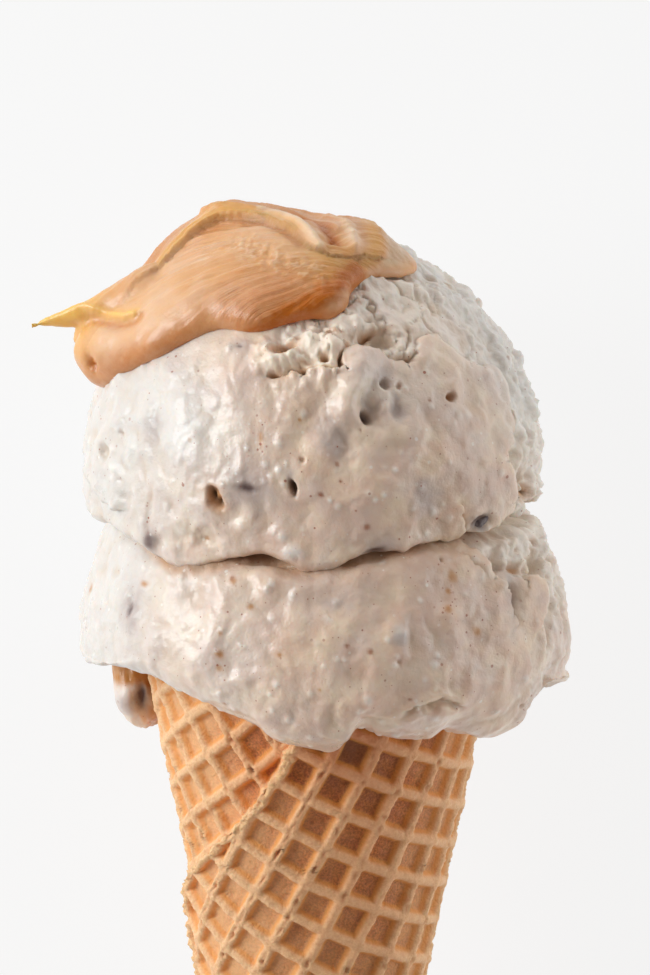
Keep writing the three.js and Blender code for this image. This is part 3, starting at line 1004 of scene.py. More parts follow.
@dataclass
class WaferCone:
    """A waffled sheet rolled into a cone. Its side is one turn of a spiral that ends in a step."""

    mouth_y: float = 1.0
    apex_y: float = -131.0
    tip_y: float = -126.0
    taper: float = 0.187
    sheet: float = 1.9
    fade: float = 26.0
    flat_centre_y: float = -140.15
    half_angle: float = math.atan(0.189)
    pitch: float = 5.75
    turn_deg: float = 27.3
    along_offset: float = 99.1
    across_offset: float = -58.2
    depth: float = 1.3
    rib_width: float = 1.5
    columns: int = 350
    wall_columns: int = 8
    front_rows: int = 196
    tail_rows: int = 68
    edge_band: float = 1.5
    edge_reach: float = 132.6
    slant_run: float = 21.0
    wobble_scale: float = 160.0
    sway: float = 0.7
    knot: float = 0.12

    def edge_azimuth(self, distance: Floats) -> Floats:
        """The azimuth of the sheet's outer edge at a distance from the flat sheet's centre."""
        below = self.edge_reach - distance
        slanted = np.minimum(below, self.slant_run)
        slant = -7.7 - 1.1 * slanted - 0.06 * slanted**2
        turned = np.maximum(0.0, below - self.slant_run)
        return slant - 26.0 * (1 - np.exp(-turned / 6)) - 0.25 * turned

    def flat_distance(self, y: Floats) -> Floats:
        """The distance of a height along the axis from the centre of the flat sheet."""
        return (y - self.flat_centre_y) / math.cos(self.half_angle)

    def radius(self, y: Floats, turns: Floats) -> Floats:
        """The wafer's radius at a height, turns away from the sheet's outer edge."""
        step = self.sheet * ease(y, self.tip_y, self.tip_y + self.fade)
        return self.taper * (y - self.apex_y) + step * (1 - turns)

    def build(self, effects: SharedEffects) -> Object:
        """Builds the wafer with its pattern, pits and crumbly edge."""
        front = np.linspace(0.0, -56.0, self.front_rows)
        tail = np.linspace(-56.0, self.tip_y + 0.4, self.tail_rows + 1)[1:]
        y = np.concatenate([[self.mouth_y, self.mouth_y - 0.3], front, tail, [self.tip_y]])[:, None]
        even = np.linspace(0.0, 1.0, self.columns)
        turns = even - 0.5 * np.sin(2 * np.pi * even) / (2 * np.pi)
        wall = np.linspace(1.0, 0.0, self.wall_columns + 2)[1:-1]
        turn_row = np.concatenate([turns, wall])[None, :]
        on_wall = np.concatenate([np.zeros(self.columns), np.sin(np.pi * wall)])[None, :] * np.ones_like(y)
        ragged = Noise(5).layered(np.stack([y, 0 * y, 0 * y], axis=-1), 3.2, 3, 0.6)
        start = self.edge_azimuth(self.flat_distance(y)) + 1.5 * ragged
        swept = np.concatenate([turns, np.ones(len(wall))])[None, :]
        azimuth = start + 360.0 * swept
        radius = self.radius(y, turn_row)
        shrink = np.sqrt(np.clip(1 - (1 - ease(y, self.tip_y, self.tip_y + 2.5)) ** 2, 0, 1))
        radius = radius * shrink
        radius[0] *= 0.9
        points = around(azimuth, radius, y)
        flat_angle = math.sin(self.half_angle) * np.radians(azimuth)
        distance = self.flat_distance(y)
        turn = math.radians(self.turn_deg)
        along = distance * np.cos(flat_angle - turn)
        across = distance * np.sin(flat_angle - turn)
        edge_gap = np.minimum(swept, 1 - swept) * 2 * np.pi * radius
        first_half = swept < 0.5
        low = mix(0.25, self.edge_band - 0.5, first_half)
        plain = ease(edge_gap, low, mix(1.1, self.edge_band + 0.5, first_half))
        plain = plain * (1 - ease(y, -2.5, -1.0)) * ease(distance, 36.0, 50.0)
        obj = new_object("wafer", *ring_grid(points))
        band = 1 - ease(edge_gap, self.edge_band - 0.9, self.edge_band + 0.3)
        seam = np.maximum(on_wall, band * first_half * ease(y, self.tip_y, self.tip_y + 40.0))
        baked = facing(azimuth, 20.0, 42.0) * mix(0.45, 1.0, ease(y, -62.0, -22.0))
        sheltered = 0.75 * facing(azimuth, -22.0, 18.0) * ease(y, -34.0, -14.0) * (swept > 0.5)
        # The last term darkens the wafer just under the skirt's front: deeper bake and painted shadow of the
        # skirt.
        baked = np.maximum(baked, sheltered) + 0.85 * facing(azimuth, 5.0, 22.0) * ease(y, -22.0, -8.0)
        values = {"along": along, "across": across, "pressed": plain, "edge": seam, "baked": baked}
        for name, value in values.items():
            paint(obj, name, ring_values(np.broadcast_to(value, azimuth.shape)))
        finish = WaferFinish().build(effects)
        self.emboss(obj, finish)
        self.roughen(obj)
        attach(obj, BODY)
        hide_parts("wafer_cone")
        return obj

    def emboss(self, obj: Object, finish: Material) -> None:
        """Presses the waffle pattern into the wafer with Geometry Nodes.

        Args:
            obj: the plain wafer, whose vertices hold their place on the flat sheet.
            finish: the material that the tree sets.
        """
        tree, wire = new_group("WafflePattern", "GeometryNodeTree", {}, ())
        group = tree.tree
        group.interface.new_socket("Geometry", in_out="INPUT", socket_type="NodeSocketGeometry")
        sizes = {"Pitch": self.pitch, "Rib Width": self.rib_width, "Depth": self.depth}
        offsets = {"Along Offset": self.along_offset, "Across Offset": self.across_offset}
        for label, value in {**sizes, **offsets}.items():
            socket = group.interface.new_socket(label, in_out="INPUT", socket_type="NodeSocketFloat")
            socket.default_value = value
        group.interface.new_socket("Geometry", in_out="OUTPUT", socket_type="NodeSocketGeometry")
        wobble = tree.add("ShaderNodeTexNoise", {"Scale": self.wobble_scale, "Detail": 1.0})
        sway = tree.scaled(wobble.outputs[0], self.sway, -self.sway / 2)
        ribs = []
        for name in ("along", "across"):
            place = tree.add("GeometryNodeInputNamedAttribute", {"Name": name}, data_type="FLOAT").outputs[0]
            offset = wire(f"{name.capitalize()} Offset")
            moved = tree.math("ADD", tree.math("SUBTRACT", place, offset), sway)
            gap = tree.math("PINGPONG", tree.math("DIVIDE", moved, wire("Pitch")), 0.5)
            gap = tree.times(gap, wire("Pitch"))
            outer = tree.times(wire("Rib Width"), 0.98)
            ribs.append(tree.remap(gap, tree.times(wire("Rib Width"), 0.2), outer, 1.0, 0.0))
        rib = tree.math("SMOOTH_MAX", ribs[0], ribs[1], 0.25)
        knot = tree.times(ribs[0], ribs[1])
        rib = tree.math("MINIMUM", tree.scaled(knot, self.knot, rib), 1.1)
        plain = tree.add("GeometryNodeInputNamedAttribute", {"Name": "pressed"}, data_type="FLOAT").outputs[0]
        sunk = tree.times(tree.math("SUBTRACT", rib, 1.0), plain)
        lift = tree.times(tree.times(sunk, wire("Depth")), MM)
        normal = tree.add("GeometryNodeInputNormal").outputs[0]
        offset = tree.add("ShaderNodeVectorMath", {0: normal, "Scale": lift}, operation="SCALE").outputs[0]
        moved = tree.add("GeometryNodeSetPosition", {"Geometry": wire("Geometry"), "Offset": offset})
        kept = tree.add(
            "GeometryNodeStoreNamedAttribute",
            {"Geometry": moved.outputs[0], "Name": "rib", "Value": tree.math("ADD", sunk, 1.0)},
            data_type="FLOAT",
            domain="POINT",
        )
        real = tree.add("GeometryNodeRealizeInstances", {"Geometry": kept.outputs[0]})
        dressed = tree.add("GeometryNodeSetMaterial", {"Geometry": real.outputs[0], "Material": finish})
        wire("Geometry", dressed.outputs[0])
        modifier = obj.modifiers.new("pattern", "NODES")
        modifier.node_group = group
        for item in group.interface.items_tree:
            if item.in_out == "INPUT" and item.name in {**sizes, **offsets}:
                modifier[item.identifier] = {**sizes, **offsets}[item.name]
        convert(obj)

    def roughen(self, obj: Object) -> None:
        """Adds the baked unevenness, the pits along one family of ribs and the crumbly edge."""
        noise = Noise(11)
        points, normals = points_of(obj), normals_of(obj)
        names = ("along", "across", "rib", "edge", "pressed")
        along, across, rib, edge, pressed = (values_of(obj, name) for name in names)
        line = np.round((across - self.across_offset) / self.pitch)
        off = across - self.across_offset - line * self.pitch
        stretched = np.stack([along / 1.7, line * 7.3, np.zeros(len(points))], axis=-1)
        gap, _, luck = noise.cells(stretched, 1.0)
        meander = off + 0.3 * noise.soft(points, 1.1)
        pit = (luck > 0.45) * bump(gap, 0.4) * bump(meander, 0.42) * pressed
        drawn_out = np.stack([along / 5, line * 3.1, 0 * line], axis=-1)
        open_share = ease(noise.soft(drawn_out, 1.0), -0.2, 0.4)
        split = bump(meander, 0.2) * pressed * open_share * rib
        rims = bump(np.abs(meander) - 0.5, 0.22) * pressed * ease(luck, 0.3, 0.5) * bump(gap, 0.6)
        crumbs = noise.layered(points, 1.1, 3, 0.7)
        bubble, _, chance = noise.cells(points + 50, 1.9)
        hole = (chance > 0.35) * bump(bubble, 0.26)
        flakes = noise.layered(points + 30, 0.9, 2, 0.6)
        lift = 0.10 * noise.layered(points, 3.0, 3) * (1 - edge) + 0.14 * flakes * rib * (1 - edge)
        lift += edge * (0.2 + 0.42 * crumbs - 1.1 * hole)
        lift -= 0.95 * pit + 0.1 * split - 0.2 * rims
        bubbles, _, luck = noise.cells(points + 90, 1.7)
        sunk = (1 - rib) * (luck > 0.6) * bump(bubbles, 0.28)
        lift -= 0.22 * sunk
        move_points(obj, points + normals * lift[:, None])
        paint(obj, "pit", np.clip(np.maximum(pit, 0.25 * split) + 0.9 * edge * hole, 0, 1))
        paint(obj, "rim", np.clip(rims + 0.5 * edge * ease(crumbs, 0.0, 0.5), 0, 1))


# ---- scoops ----


@dataclass
class Scoop:
    """What both scoops share: a shell from pole to pole, placed features and a torn or melted skin."""

    name: str
    node: str
    slot: str
    centre: Floats
    radius: float
    seed: int
    columns: int = 500
    crowding: float = 0.38
    swellings: tuple[Patch, ...] = ()
    torn_places: tuple[Patch, ...] = ()
    milky_places: tuple[Patch, ...] = spots((0.42, -21, 6, 10, 15))
    marks: tuple[Mark, ...] = ()
    lines: tuple[Line, ...] = ()
    skin_edge: Line | None = None

    def azimuths(self) -> Floats:
        """The columns' azimuths, closer together at the front."""
        turn = np.linspace(-1.0, 1.0, self.columns, endpoint=False)
        return 180.0 * ((1 - self.crowding) * turn + self.crowding * turn**3)

    def shell(self, azimuth: Floats) -> Floats:
        """The smooth grid of rings, without small features."""
        raise NotImplementedError

    def torn_side(self, azimuth: Floats, latitude: Floats) -> Floats:
        """How rough the cream is where the skin's edge leaves it bare, 0 to 1."""
        raise NotImplementedError

    def build(self, finish: Material) -> Object:
        """Builds the scoop and puts it in its node's place."""
        azimuth = self.azimuths()
        points = self.shell(azimuth)
        normals = grid_normals(points)
        away = points - self.centre
        latitude = np.degrees(np.arcsin(np.clip(away[..., 1] / np.linalg.norm(away, axis=-1), -1, 1)))
        turned = np.degrees(np.arctan2(away[..., 0], away[..., 2]))
        relief = Relief.flat(latitude.shape)
        noise = Noise(self.seed + 100)
        wobble = noise.layered(points, 1.6, 2)
        sway = np.stack([noise.layered(points + shift, 2.4, 3, 0.65) for shift in (0.0, 7.0)])
        sway = np.degrees(0.45 * sway / self.radius)
        place = turned + sway[0], latitude + sway[1]
        relief.press(self.marks, (turned, latitude), self.radius, wobble)
        relief.draw(self.lines, place, self.radius)
        bare = self.skin_edge.bare(place, self.radius, relief, self.torn_side(turned, latitude))
        torn = np.clip(np.maximum(bare, strongest(self.torn_places, turned, latitude)), 0, 1)
        relief.height += self.skin(points, torn, relief)
        relief.stain(Stain.WHITE, strongest(self.milky_places, turned, latitude))
        hidden = self.hidden(points)
        tilt = np.radians(turned)
        east = np.stack([np.cos(tilt), 0 * tilt, -np.sin(tilt)], axis=-1)
        north = np.cross(normals, east)
        north *= np.sign(north[..., 1:2])
        moved = normals * relief.height[..., None]
        moved = moved + east * relief.east[..., None] + north * relief.north[..., None]
        points = points + moved * (1 - hidden)[..., None]
        points[..., 2] = np.maximum(points[..., 2], REST)
        obj = new_object(self.name, *ring_grid(points))
        for stain, share in relief.stains.items():
            paint(obj, stain.value, ring_values(share))
        paint(obj, "torn", ring_values(torn))
        paint(obj, "painted_light", ring_values(self.painted_light_share(turned, latitude)))
        obj.data.materials.append(finish)
        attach(obj, BODY)
        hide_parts(self.node)
        return obj

    def painted_light_share(self, turned: Floats, latitude: Floats) -> Floats:
        """How far the skin is painted paler on its left, where the key light falls: painted light, 0 to 1."""
        return 0.8 * ease(-turned, 12.0, 64.0) * ease(turned, -175.0, -130.0)

    def hidden(self, points: Floats) -> Floats:
        """Where the surface is out of sight and stays plain, 0 to 1."""
        return np.zeros(points.shape[:-1])

    def skin(self, points: Floats, torn: Floats, relief: Relief) -> Floats:
        """The unevenness of the whole skin.

        Args:
            points: the grid.
            torn: how torn it is at each point.
            relief: takes the stains of small pits and the painted shade in hollows.

        Returns:
            The height in millimetres.
        """
        noise = Noise(self.seed)
        warp = noise.warp(points, 5.0, 100.0)
        broad = 0.35 * noise.layered(points, 10.0, 2)
        lumps = noise.layered(points + 1.3 * warp + 40, 4.4, 3, 0.4)
        cluster = noise.soft(points + 120, 9.0)
        gap, _, luck = noise.cells(points + 60, 2.1)
        size = 0.13 + 0.22 * np.mod(luck * 7.0, 1.0)
        dab = (luck > 0.68 - 0.4 * cluster) * np.exp(-((gap / size) ** 3))
        gap, _, luck = noise.cells(points, 4.2)
        size = 0.05 + 0.07 * np.mod(luck * 7.0, 1.0)
        hole = (luck > 0.7) * np.exp(-((gap / size) ** 4)) * (1 - torn)
        relief.stain(Stain.AMBER, 0.5 * hole)
        gap, following, luck = noise.cells(points + 2.0 * warp + 20, 3.3)
        flake = 1.4 * (luck - 0.5) * ease(following - gap, 0.0, 0.3) + 0.4 * (0.6 - gap)
        grain, _, _ = noise.cells(points + 0.9 * warp + 90, 1.3)
        pore, _, luck = noise.cells(points + 0.6 * warp + 150, 2.3)
        pit = (luck > 0.6) * bump(pore, 0.24)
        rough = flake + 0.13 * (0.5 - grain**2) + 0.65 * noise.layered(points + 70, 2.8, 4, 0.55) - 0.8 * pit
        relief.stain(Stain.WHITE, np.clip(0.8 * dab + 0.6 * torn * ease(rough, 0.2, 1.0), 0, 1))
        # painted shade in the low places of the lumps and of the torn cream
        relief.stain(Stain.HOLLOW, np.clip(ease(-lumps, 0.0, 1.1) + torn * ease(-rough, 0.1, 0.9), 0, 1))
        relief.stain(Stain.AMBER, 0.5 * torn * pit)
        relief.stain(Stain.AMBER, 0.85 * relief.stains[Stain.DOUGH] * ease(-rough, 0.1, 0.6))
        return broad + (0.46 - 0.1 * torn) * lumps + 0.24 * dab - 0.5 * hole + torn * rough


@dataclass
class LowerScoop(Scoop):
    """The lower scoop, with the melted skirt that hangs over the wafer."""

    wafer: WaferCone = field(default_factory=WaferCone)
    lip_edge: Curve = np.zeros_like
    swellings: tuple[Patch, ...] = spots(
        (1.3, 72, 24, 26, 12), (0.8, 78, 4, 16, 12), (-0.8, 52, 22, 9, 10), (-0.7, 65, 8, 4, 12),
        (-0.7, 24, -6, 12, 5),
    )  # fmt: skip
    torn_places: tuple[Patch, ...] = spots((0.9, 150, 12, 30, 12), (0.7, -125, 10, 22, 12))
    contact_top: float = 26.0
    contact_radius: float = 60.0
    shoulder: float = 31.0
    dome_rows: int = 18
    side_rows: int = 66
    skirt_rows: int = 76
    under_rows: int = 16
    skirt_edge: Curve = closed_curve(
        (
            (-150, -5), (-112, -4.3), (-85, -2.2), (-62, -1), (-48, -2.7), (-40, -4.1), (-30, -5.3),
            (-18, -6.9), (-8, -9), (1, -9.4), (5.5, -9), (8.8, -6.3), (12.2, -6.3), (15, -7.1), (24, -8.2),
            (31, -8.7), (35, -7.7), (42, -8.8), (50, -9.4), (55, -9.6), (58.5, -7.6), (61, -5.2),
            (63.5, -3.5), (67, -3.1), (75, -3.5), (84, -4.2), (100, -4.8), (120, -5.4), (165, -4),
        )
    )  # fmt: skip
    skirt_lip: Curve = closed_curve(
        (
            (-150, 6), (-110, 6.6), (-80, 6.2), (-60, 3.4), (-42, 1.2), (-22, 1.2), (-10, 2.2), (0, 2.4),
            (40, 2.8), (50, 4), (55, 5), (58.5, 7), (63, 9), (70, 10), (84, 10.4), (110, 8), (130, 6),
        )
    )  # fmt: skip
    tuck: Curve = closed_curve(
        (
            (-170, 0), (-78, 0), (-63, 0.5), (-55, 1.6), (-48, 2.8), (-42, 3.1), (-36, 2.5), (-28, 1.9),
            (-20, 1.2), (-12, 0.7), (-4, 0.4), (14, 0.3), (32, 0.5), (50, 0), (100, 0),
        )
    )  # fmt: skip

    def swell(self, azimuth: Floats, latitude: Floats) -> Floats:
        """Soft swelling of the side, as in the solid."""
        height = 0.5 * np.sin(np.radians(2 * azimuth + 40)) * np.cos(np.radians(latitude * 1.5))
        for patch in self.swellings:
            height = height + patch.at(azimuth, latitude)
        return height + 0.35 * np.sin(np.radians(7 * azimuth)) * bump(latitude - 8, 16)

    def shell(self, azimuth: Floats) -> Floats:
        """The dome under the upper scoop, the side, the skirt and its underside."""
        flatness = facing(azimuth, 180, 60)

        def side(latitude: Floats) -> Floats:
            """The side's distance from the centre."""
            return self.radius + (1 - flatness) * self.swell(azimuth, latitude)

        rings = []
        for share in np.linspace(0.0, 0.95, self.dome_rows):
            out = share * side(self.shoulder) * math.cos(math.radians(self.shoulder))
            sag = self.contact_radius - np.sqrt(self.contact_radius**2 - out**2)
            rings.append(around(azimuth, out, self.contact_top - sag) + self.centre)
        for latitude in np.linspace(self.shoulder, 0.0, self.side_rows):
            rings.append(direction(azimuth, latitude) * side(latitude)[:, None] + self.centre)
        edge = self.skirt_edge(azimuth)
        edge_radius = self.wafer.radius(edge, np.zeros_like(edge)) + self.skirt_lip(azimuth)
        for bend in np.radians(np.linspace(0.0, 90.0, self.skirt_rows))[1:]:
            reach = mix(edge_radius, side(0.0), math.cos(bend))
            drift = mix(1 - math.sin(bend), 1.0, 0.3)
            rings.append(around(azimuth, reach, edge * math.sin(bend)) + drift * self.centre)
        inner = self.wafer.radius(edge, np.ones_like(edge)) - 1.5
        for share in np.linspace(0.0, 1.0, self.under_rows)[1:]:
            rise = 0.9 * math.sin(math.pi / 2 * share)
            rings.append(around(azimuth, mix(edge_radius, inner, share), edge + rise) + 0.3 * self.centre)
        for share in (0.6, 0.0):
            rings.append(around(azimuth, inner * share, mix(-3.0, edge, share)))
        points = soften_rows(np.array(rings), 3)
        outer = ease(np.hypot(points[..., 0], points[..., 2]), 12.0, 22.0)
        points[..., 1] += self.tuck(azimuth) * outer * (1 - ease(points[..., 1], -2.0, 10.0))
        return points

    def torn_side(self, azimuth: Floats, latitude: Floats) -> Floats:
        """The right-hand side is torn high up and has half melted further down."""
        return facing(azimuth, 62, 42) * mix(0.3, 1.0, ease(latitude, 6.0, 17.0))

    def hidden(self, points: Floats) -> Floats:
        """The dome under the upper scoop stays plain."""
        return ease(points[..., 1], 19.5, 21.5)

    def skin(self, points: Floats, torn: Floats, relief: Relief) -> Floats:
        """The skin, drawn in where the upper scoop's lip hangs over it, with an amber line and painted shadow
        in amber, brown and grey below the lip.
        """
        azimuth = np.degrees(np.arctan2(points[..., 0], points[..., 2]))
        below = points[..., 1] - self.lip_edge(azimuth)
        groove = ease(below, -2.6, 0.4)
        open_share = 0.2 + 0.8 * facing(azimuth, -13, 13) + 0.2 * facing(azimuth, 10, 8)
        amber_line_and_shadow = 0.5 + 0.5 * facing(azimuth, -52, 16)
        # painted shadow under the upper lip: amber and brown in the crease, partly an amber line of its own,
        # then a fainter amber and grey shade further down
        relief.stain(Stain.AMBER, 0.95 * amber_line_and_shadow * ease(below, -1.5, 0.2))
        relief.stain(Stain.BROWN, 0.4 * ease(below, -0.6, 0.8))
        relief.stain(Stain.AMBER, 0.26 * facing(azimuth, 20, 34) * ease(below, -6.5, -0.5))
        relief.stain(Stain.HALO, 0.42 * facing(azimuth, 8, 24) * ease(below, -9.0, -1.0))
        return super().skin(points, torn, relief) - 2.4 * open_share * groove


@dataclass
class UpperScoop(Scoop):
    """The upper scoop, whose lip hangs over the lower one."""

    swellings: tuple[Patch, ...] = spots(
        (-0.9, 60, 40, 16, 12), (-0.8, 22, 38, 6, 5), (-0.5, -24, -9, 8, 6)
    )  # fmt: skip
    torn_places: tuple[Patch, ...] = spots((0.9, 160, 35, 40, 22), (0.6, -112, 20, 20, 18))
    milky_places: tuple[Patch, ...] = spots(
        (0.72, 17, 26, 12, 9), (0.34, -32, 17, 15, 9), (0.36, -20, 2, 8, 8)
    )  # fmt: skip
    base_y: float = -9.0
    equator: float = -4.0
    crown_end: float = 56.0
    crown_rows: int = 30
    side_rows: int = 112
    lip_rows: int = 34
    under_rows: int = 14
    lip_round: float = 1.9
    lip_edge: Curve = closed_curve(
        (
            (-170, 18.4), (-130, 17.2), (-90, 19.2), (-66, 18.6), (-52, 17.6), (-38, 15.2), (-28, 16.2),
            (-14, 18.2), (-4, 16.6), (4, 16.8), (14, 18.3), (26, 18.7), (37, 19.6), (50, 19.6), (66, 21),
            (90, 20.4), (130, 18),
        )
    )  # fmt: skip

    def swell(self, azimuth: Floats, latitude: Floats) -> Floats:
        """Soft swelling, folds and hollows, as in the solid."""
        fold = turn_between(azimuth, mix(6, 16, (latitude - 19) / 17))
        height = 0.35 * np.sin(np.radians(3 * azimuth + 20)) * np.cos(np.radians(latitude))
        height = height + 0.9 * bump(fold - 1, 4) * bump(latitude - 28, 11)
        height = height - 1.1 * bump(fold + 6, 4) * bump(latitude - 17, 7)
        for patch in self.swellings:
            height = height + patch.at(azimuth, latitude)
        return height + 0.3 * np.sin(np.radians(9 * azimuth)) * bump(latitude - 4, 14)

    def shell(self, azimuth: Floats) -> Floats:
        """The crown, the side, the lip and the underside."""
        flatness = facing(azimuth, 180, 50)

        def side(latitude: Floats) -> Floats:
            """The side's distance from the centre."""
            return self.radius + (1 - flatness) * self.swell(azimuth, latitude)

        rings = []
        crown = np.linspace(90, self.crown_end, self.crown_rows)[:-1]
        for latitude in [*crown, *np.linspace(self.crown_end, self.equator, self.side_rows)]:
            rings.append(direction(azimuth, latitude) * side(latitude)[:, None] + self.centre)
        edge = self.lip_edge(azimuth) - self.centre[1]
        tilt = math.radians(self.equator)
        out = side(self.equator)
        widest, start = out * math.cos(tilt), out * math.sin(tilt)
        lip = widest - self.lip_round
        for bend in np.radians(np.linspace(0.0, 90.0, self.lip_rows))[1:]:
            reach = mix(lip, widest, math.cos(bend))
            rings.append(around(azimuth, reach, mix(start, edge, math.sin(bend))) + self.centre)
        for share in np.linspace(1.0, 0.0, self.under_rows)[1:]:
            height = mix(self.base_y, edge, share) + 1.2 * math.sin(math.pi * share)
            rings.append(around(azimuth, lip * share, height) + self.centre)
        return soften_rows(np.array(rings), 3)

    def painted_light_share(self, turned: Floats, latitude: Floats) -> Floats:
        """How far the skin is painted paler, 0 to 1: painted light on its left where the key light falls,
        also under the left end of the spread and far right where light comes from behind.
        """
        left = 0.5 * bump(turned + 33, 17) * bump(latitude - 15, 12)
        right = 0.75 * bump(turned - 78, 26) * ease(latitude, 2.0, 22.0)
        return np.clip(super().painted_light_share(turned, latitude) + left + right, 0, 0.8)

    def torn_side(self, azimuth: Floats, latitude: Floats) -> Floats:
        """The dough patch under the spread and the right-hand side are torn, the crown less so."""
        crown = facing(azimuth, 55, 34) * bump(latitude - 42, 10)
        left = ease(turn_between(azimuth, 0), -18.0, -7.0)
        return np.clip(1.0 - 0.6 * crown, 0, 1) * left * ease(-np.abs(turn_between(azimuth, 20)), -120, -95)

    def hidden(self, points: Floats) -> Floats:
        """The underside stays plain."""
        out = np.hypot(points[..., 0], points[..., 2])
        return (1 - ease(out, 25.0, 28.0)) * (points[..., 1] < 24)

    def skin(self, points: Floats, torn: Floats, relief: Relief) -> Floats:
        """The skin, with a thin raised rim along the lip."""
        azimuth = np.degrees(np.arctan2(points[..., 0], points[..., 2]))
        above = points[..., 1] - self.lip_edge(azimuth)
        noise = Noise(self.seed + 7)
        area = facing(azimuth, 34.0, 32.0) * ease(points[..., 1], 39.0, 44.0)
        warp = noise.warp(points, 4.0, 40.0)
        gap, following, luck = noise.cells(points + 2.2 * warp, 6.0)
        crack = (luck > 0.4) * bump(following - gap, 0.07)
        crag = 1.1 * noise.layered(points + 1.5 * warp + 17, 5.5, 2, 0.45) - 1.1 * crack
        # painted shade in the cracks and low places of the torn crown
        relief.stain(Stain.HOLLOW, torn * area * np.clip(crack + ease(-crag, 0.2, 1.0), 0, 1))
        calmed = torn * (1 - 0.45 * area)
        return super().skin(points, calmed, relief) + 0.45 * bump(above - 0.9, 0.9) + torn * area * crag


@dataclass
class HangingLobe:
    """The soft lobe that hangs from the skirt behind the cone's left side."""

    azimuth: float = -104.0
    distance: float = 26.4
    height: float = -7.6
    across: float = 4.2
    long: float = 6.9
    deep: float = 3.7
    lean: float = 0.14
    columns: int = 96
    rows: int = 70
    seed: int = 31

    def build(self, finish: Material) -> Object:
        """Builds the lobe in the lower scoop's finish."""
        rings = unit_ball(self.columns, self.rows)
        noise = Noise(self.seed)
        swell = 1 + 0.13 * noise.soft(rings, 0.9) + 0.05 * noise.layered(rings + 5, 0.35, 2)
        shaped = rings * swell[..., None] * [self.across, self.long, self.deep]
        turn = math.radians(self.azimuth)
        x = shaped[..., 0] * math.cos(turn) + shaped[..., 2] * math.sin(turn)
        z = shaped[..., 2] * math.cos(turn) - shaped[..., 0] * math.sin(turn)
        middle = around(self.azimuth, self.distance, self.height)
        leaned = np.stack([x - self.lean * shaped[..., 1], shaped[..., 1], z], axis=-1)
        grid = leaned + middle
        grid[..., 2] = np.maximum(grid[..., 2], REST)
        right, up = leaned[..., 0], leaned[..., 1]
        blob = bump(np.hypot((right + 1.5) / 1.7, (up + 1.5) / 2.4), 1.0)
        dark = bump(np.hypot((right - 0.5) / 0.9, (up + 1.2) / 2.0), 1.0)
        grid += grid_normals(grid) * (1.2 * blob - 0.8 * dark)[..., None]
        obj = new_object("hanging_lobe", *ring_grid(grid))
        stains = {
            Stain.AMBER: 1.3 * ease(up, -0.2, 1.4) + 0.9 * ease(right, 0.4, 2.0),
            Stain.DOUGH: 0.8 * ease(-up, 2.8, 4.6),
            Stain.HALO: 0.9 * blob * ease(-up, -0.6, 2.2),
            # painted shadow down the lobe's right side, next to the cone
            Stain.BROWN: 0.7 * ease(right, 1.4, 3.2) * ease(up, -4.0, 0.0),
            Stain.CHIP: 1.5 * dark,
            Stain.WHITE: 0.9 * blob,
        }
        for stain in Stain:
            if stain is not Stain.NONE:
                paint(obj, stain.value, ring_values(stains.get(stain, 0 * up)))
        paint(obj, "torn", 0.3 * np.ones(len(obj.data.vertices)))
        obj.data.materials.append(finish)
        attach(obj, BODY)
        return obj


@dataclass(frozen=True)
class Chip:
    """One chip in a scoop's skin: where it is, its length, width and thickness, and how it is turned."""

    azimuth: float
    latitude: float
    length: float
    width: float
    thick: float = 1.2
    turn: float = 0.0
    proud: float = 0.25


@dataclass
class ChipSet:
    """The chips that show in one scoop, as one piece."""

    name: str
    centre: Floats
    radius: float
    slot: str
    chips: tuple[Chip, ...]
    seed: int
    columns: int = 26
    rows: int = 18

    def build(self, finish: Material) -> Object:
        """Builds the broken, rounded shards."""
        noise = Noise(self.seed)
        ball = unit_ball(self.columns, self.rows)
        shards = []
        for number, chip in enumerate(self.chips):
            facets = 1 + 0.22 * noise.soft(ball + 3.7 * number, 1.1)
            facets = facets + 0.08 * noise.soft(ball + 5.1 * number, 0.4)
            blocky = np.sign(ball) * np.abs(ball) ** 0.8 * facets[..., None]
            shaped = blocky * [chip.length / 2, chip.thick / 2, chip.width / 2]
            out = direction(chip.azimuth, chip.latitude)
            east = direction(chip.azimuth + 90, 0.0)
            north = np.cross(east, out) * np.sign(np.cross(east, out)[1])
            turn = math.radians(chip.turn)
            long = east * math.cos(turn) + north * math.sin(turn)
            wide = np.cross(long, out)
            place = self.centre + out * (self.radius + chip.proud - chip.thick / 2)
            points = place + shaped[..., :1] * long + shaped[..., 1:2] * out + shaped[..., 2:] * wide
            shards.append(ring_grid(points))
        obj = new_object(self.name, *joined(shards))
        obj.data.materials.append(finish)
        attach(obj, BODY)
        return obj


UPPER_CHIPS = (
    Chip(46.1, -8.5, 3.2, 1.5, 1.8, 25, 0.1),
    Chip(49.0, -8.0, 1.2, 0.9, 1.2, -20, 0.1),
)


def marks(stain: Stain, *rows: tuple[float, ...]) -> tuple[Mark, ...]:
    """Marks of one stain, from rows of their numbers in the order of Mark's fields."""
    return tuple(Mark(stain, *row) for row in rows)


def dots(stain: Stain, height: float, *places: tuple[float, float, float]) -> tuple[Mark, ...]:
    """Small round marks of one height, from their azimuths, latitudes and sizes."""
    rows = ((*place, place[2], height, 0, 3) for place in places)
    return marks(stain, *rows)


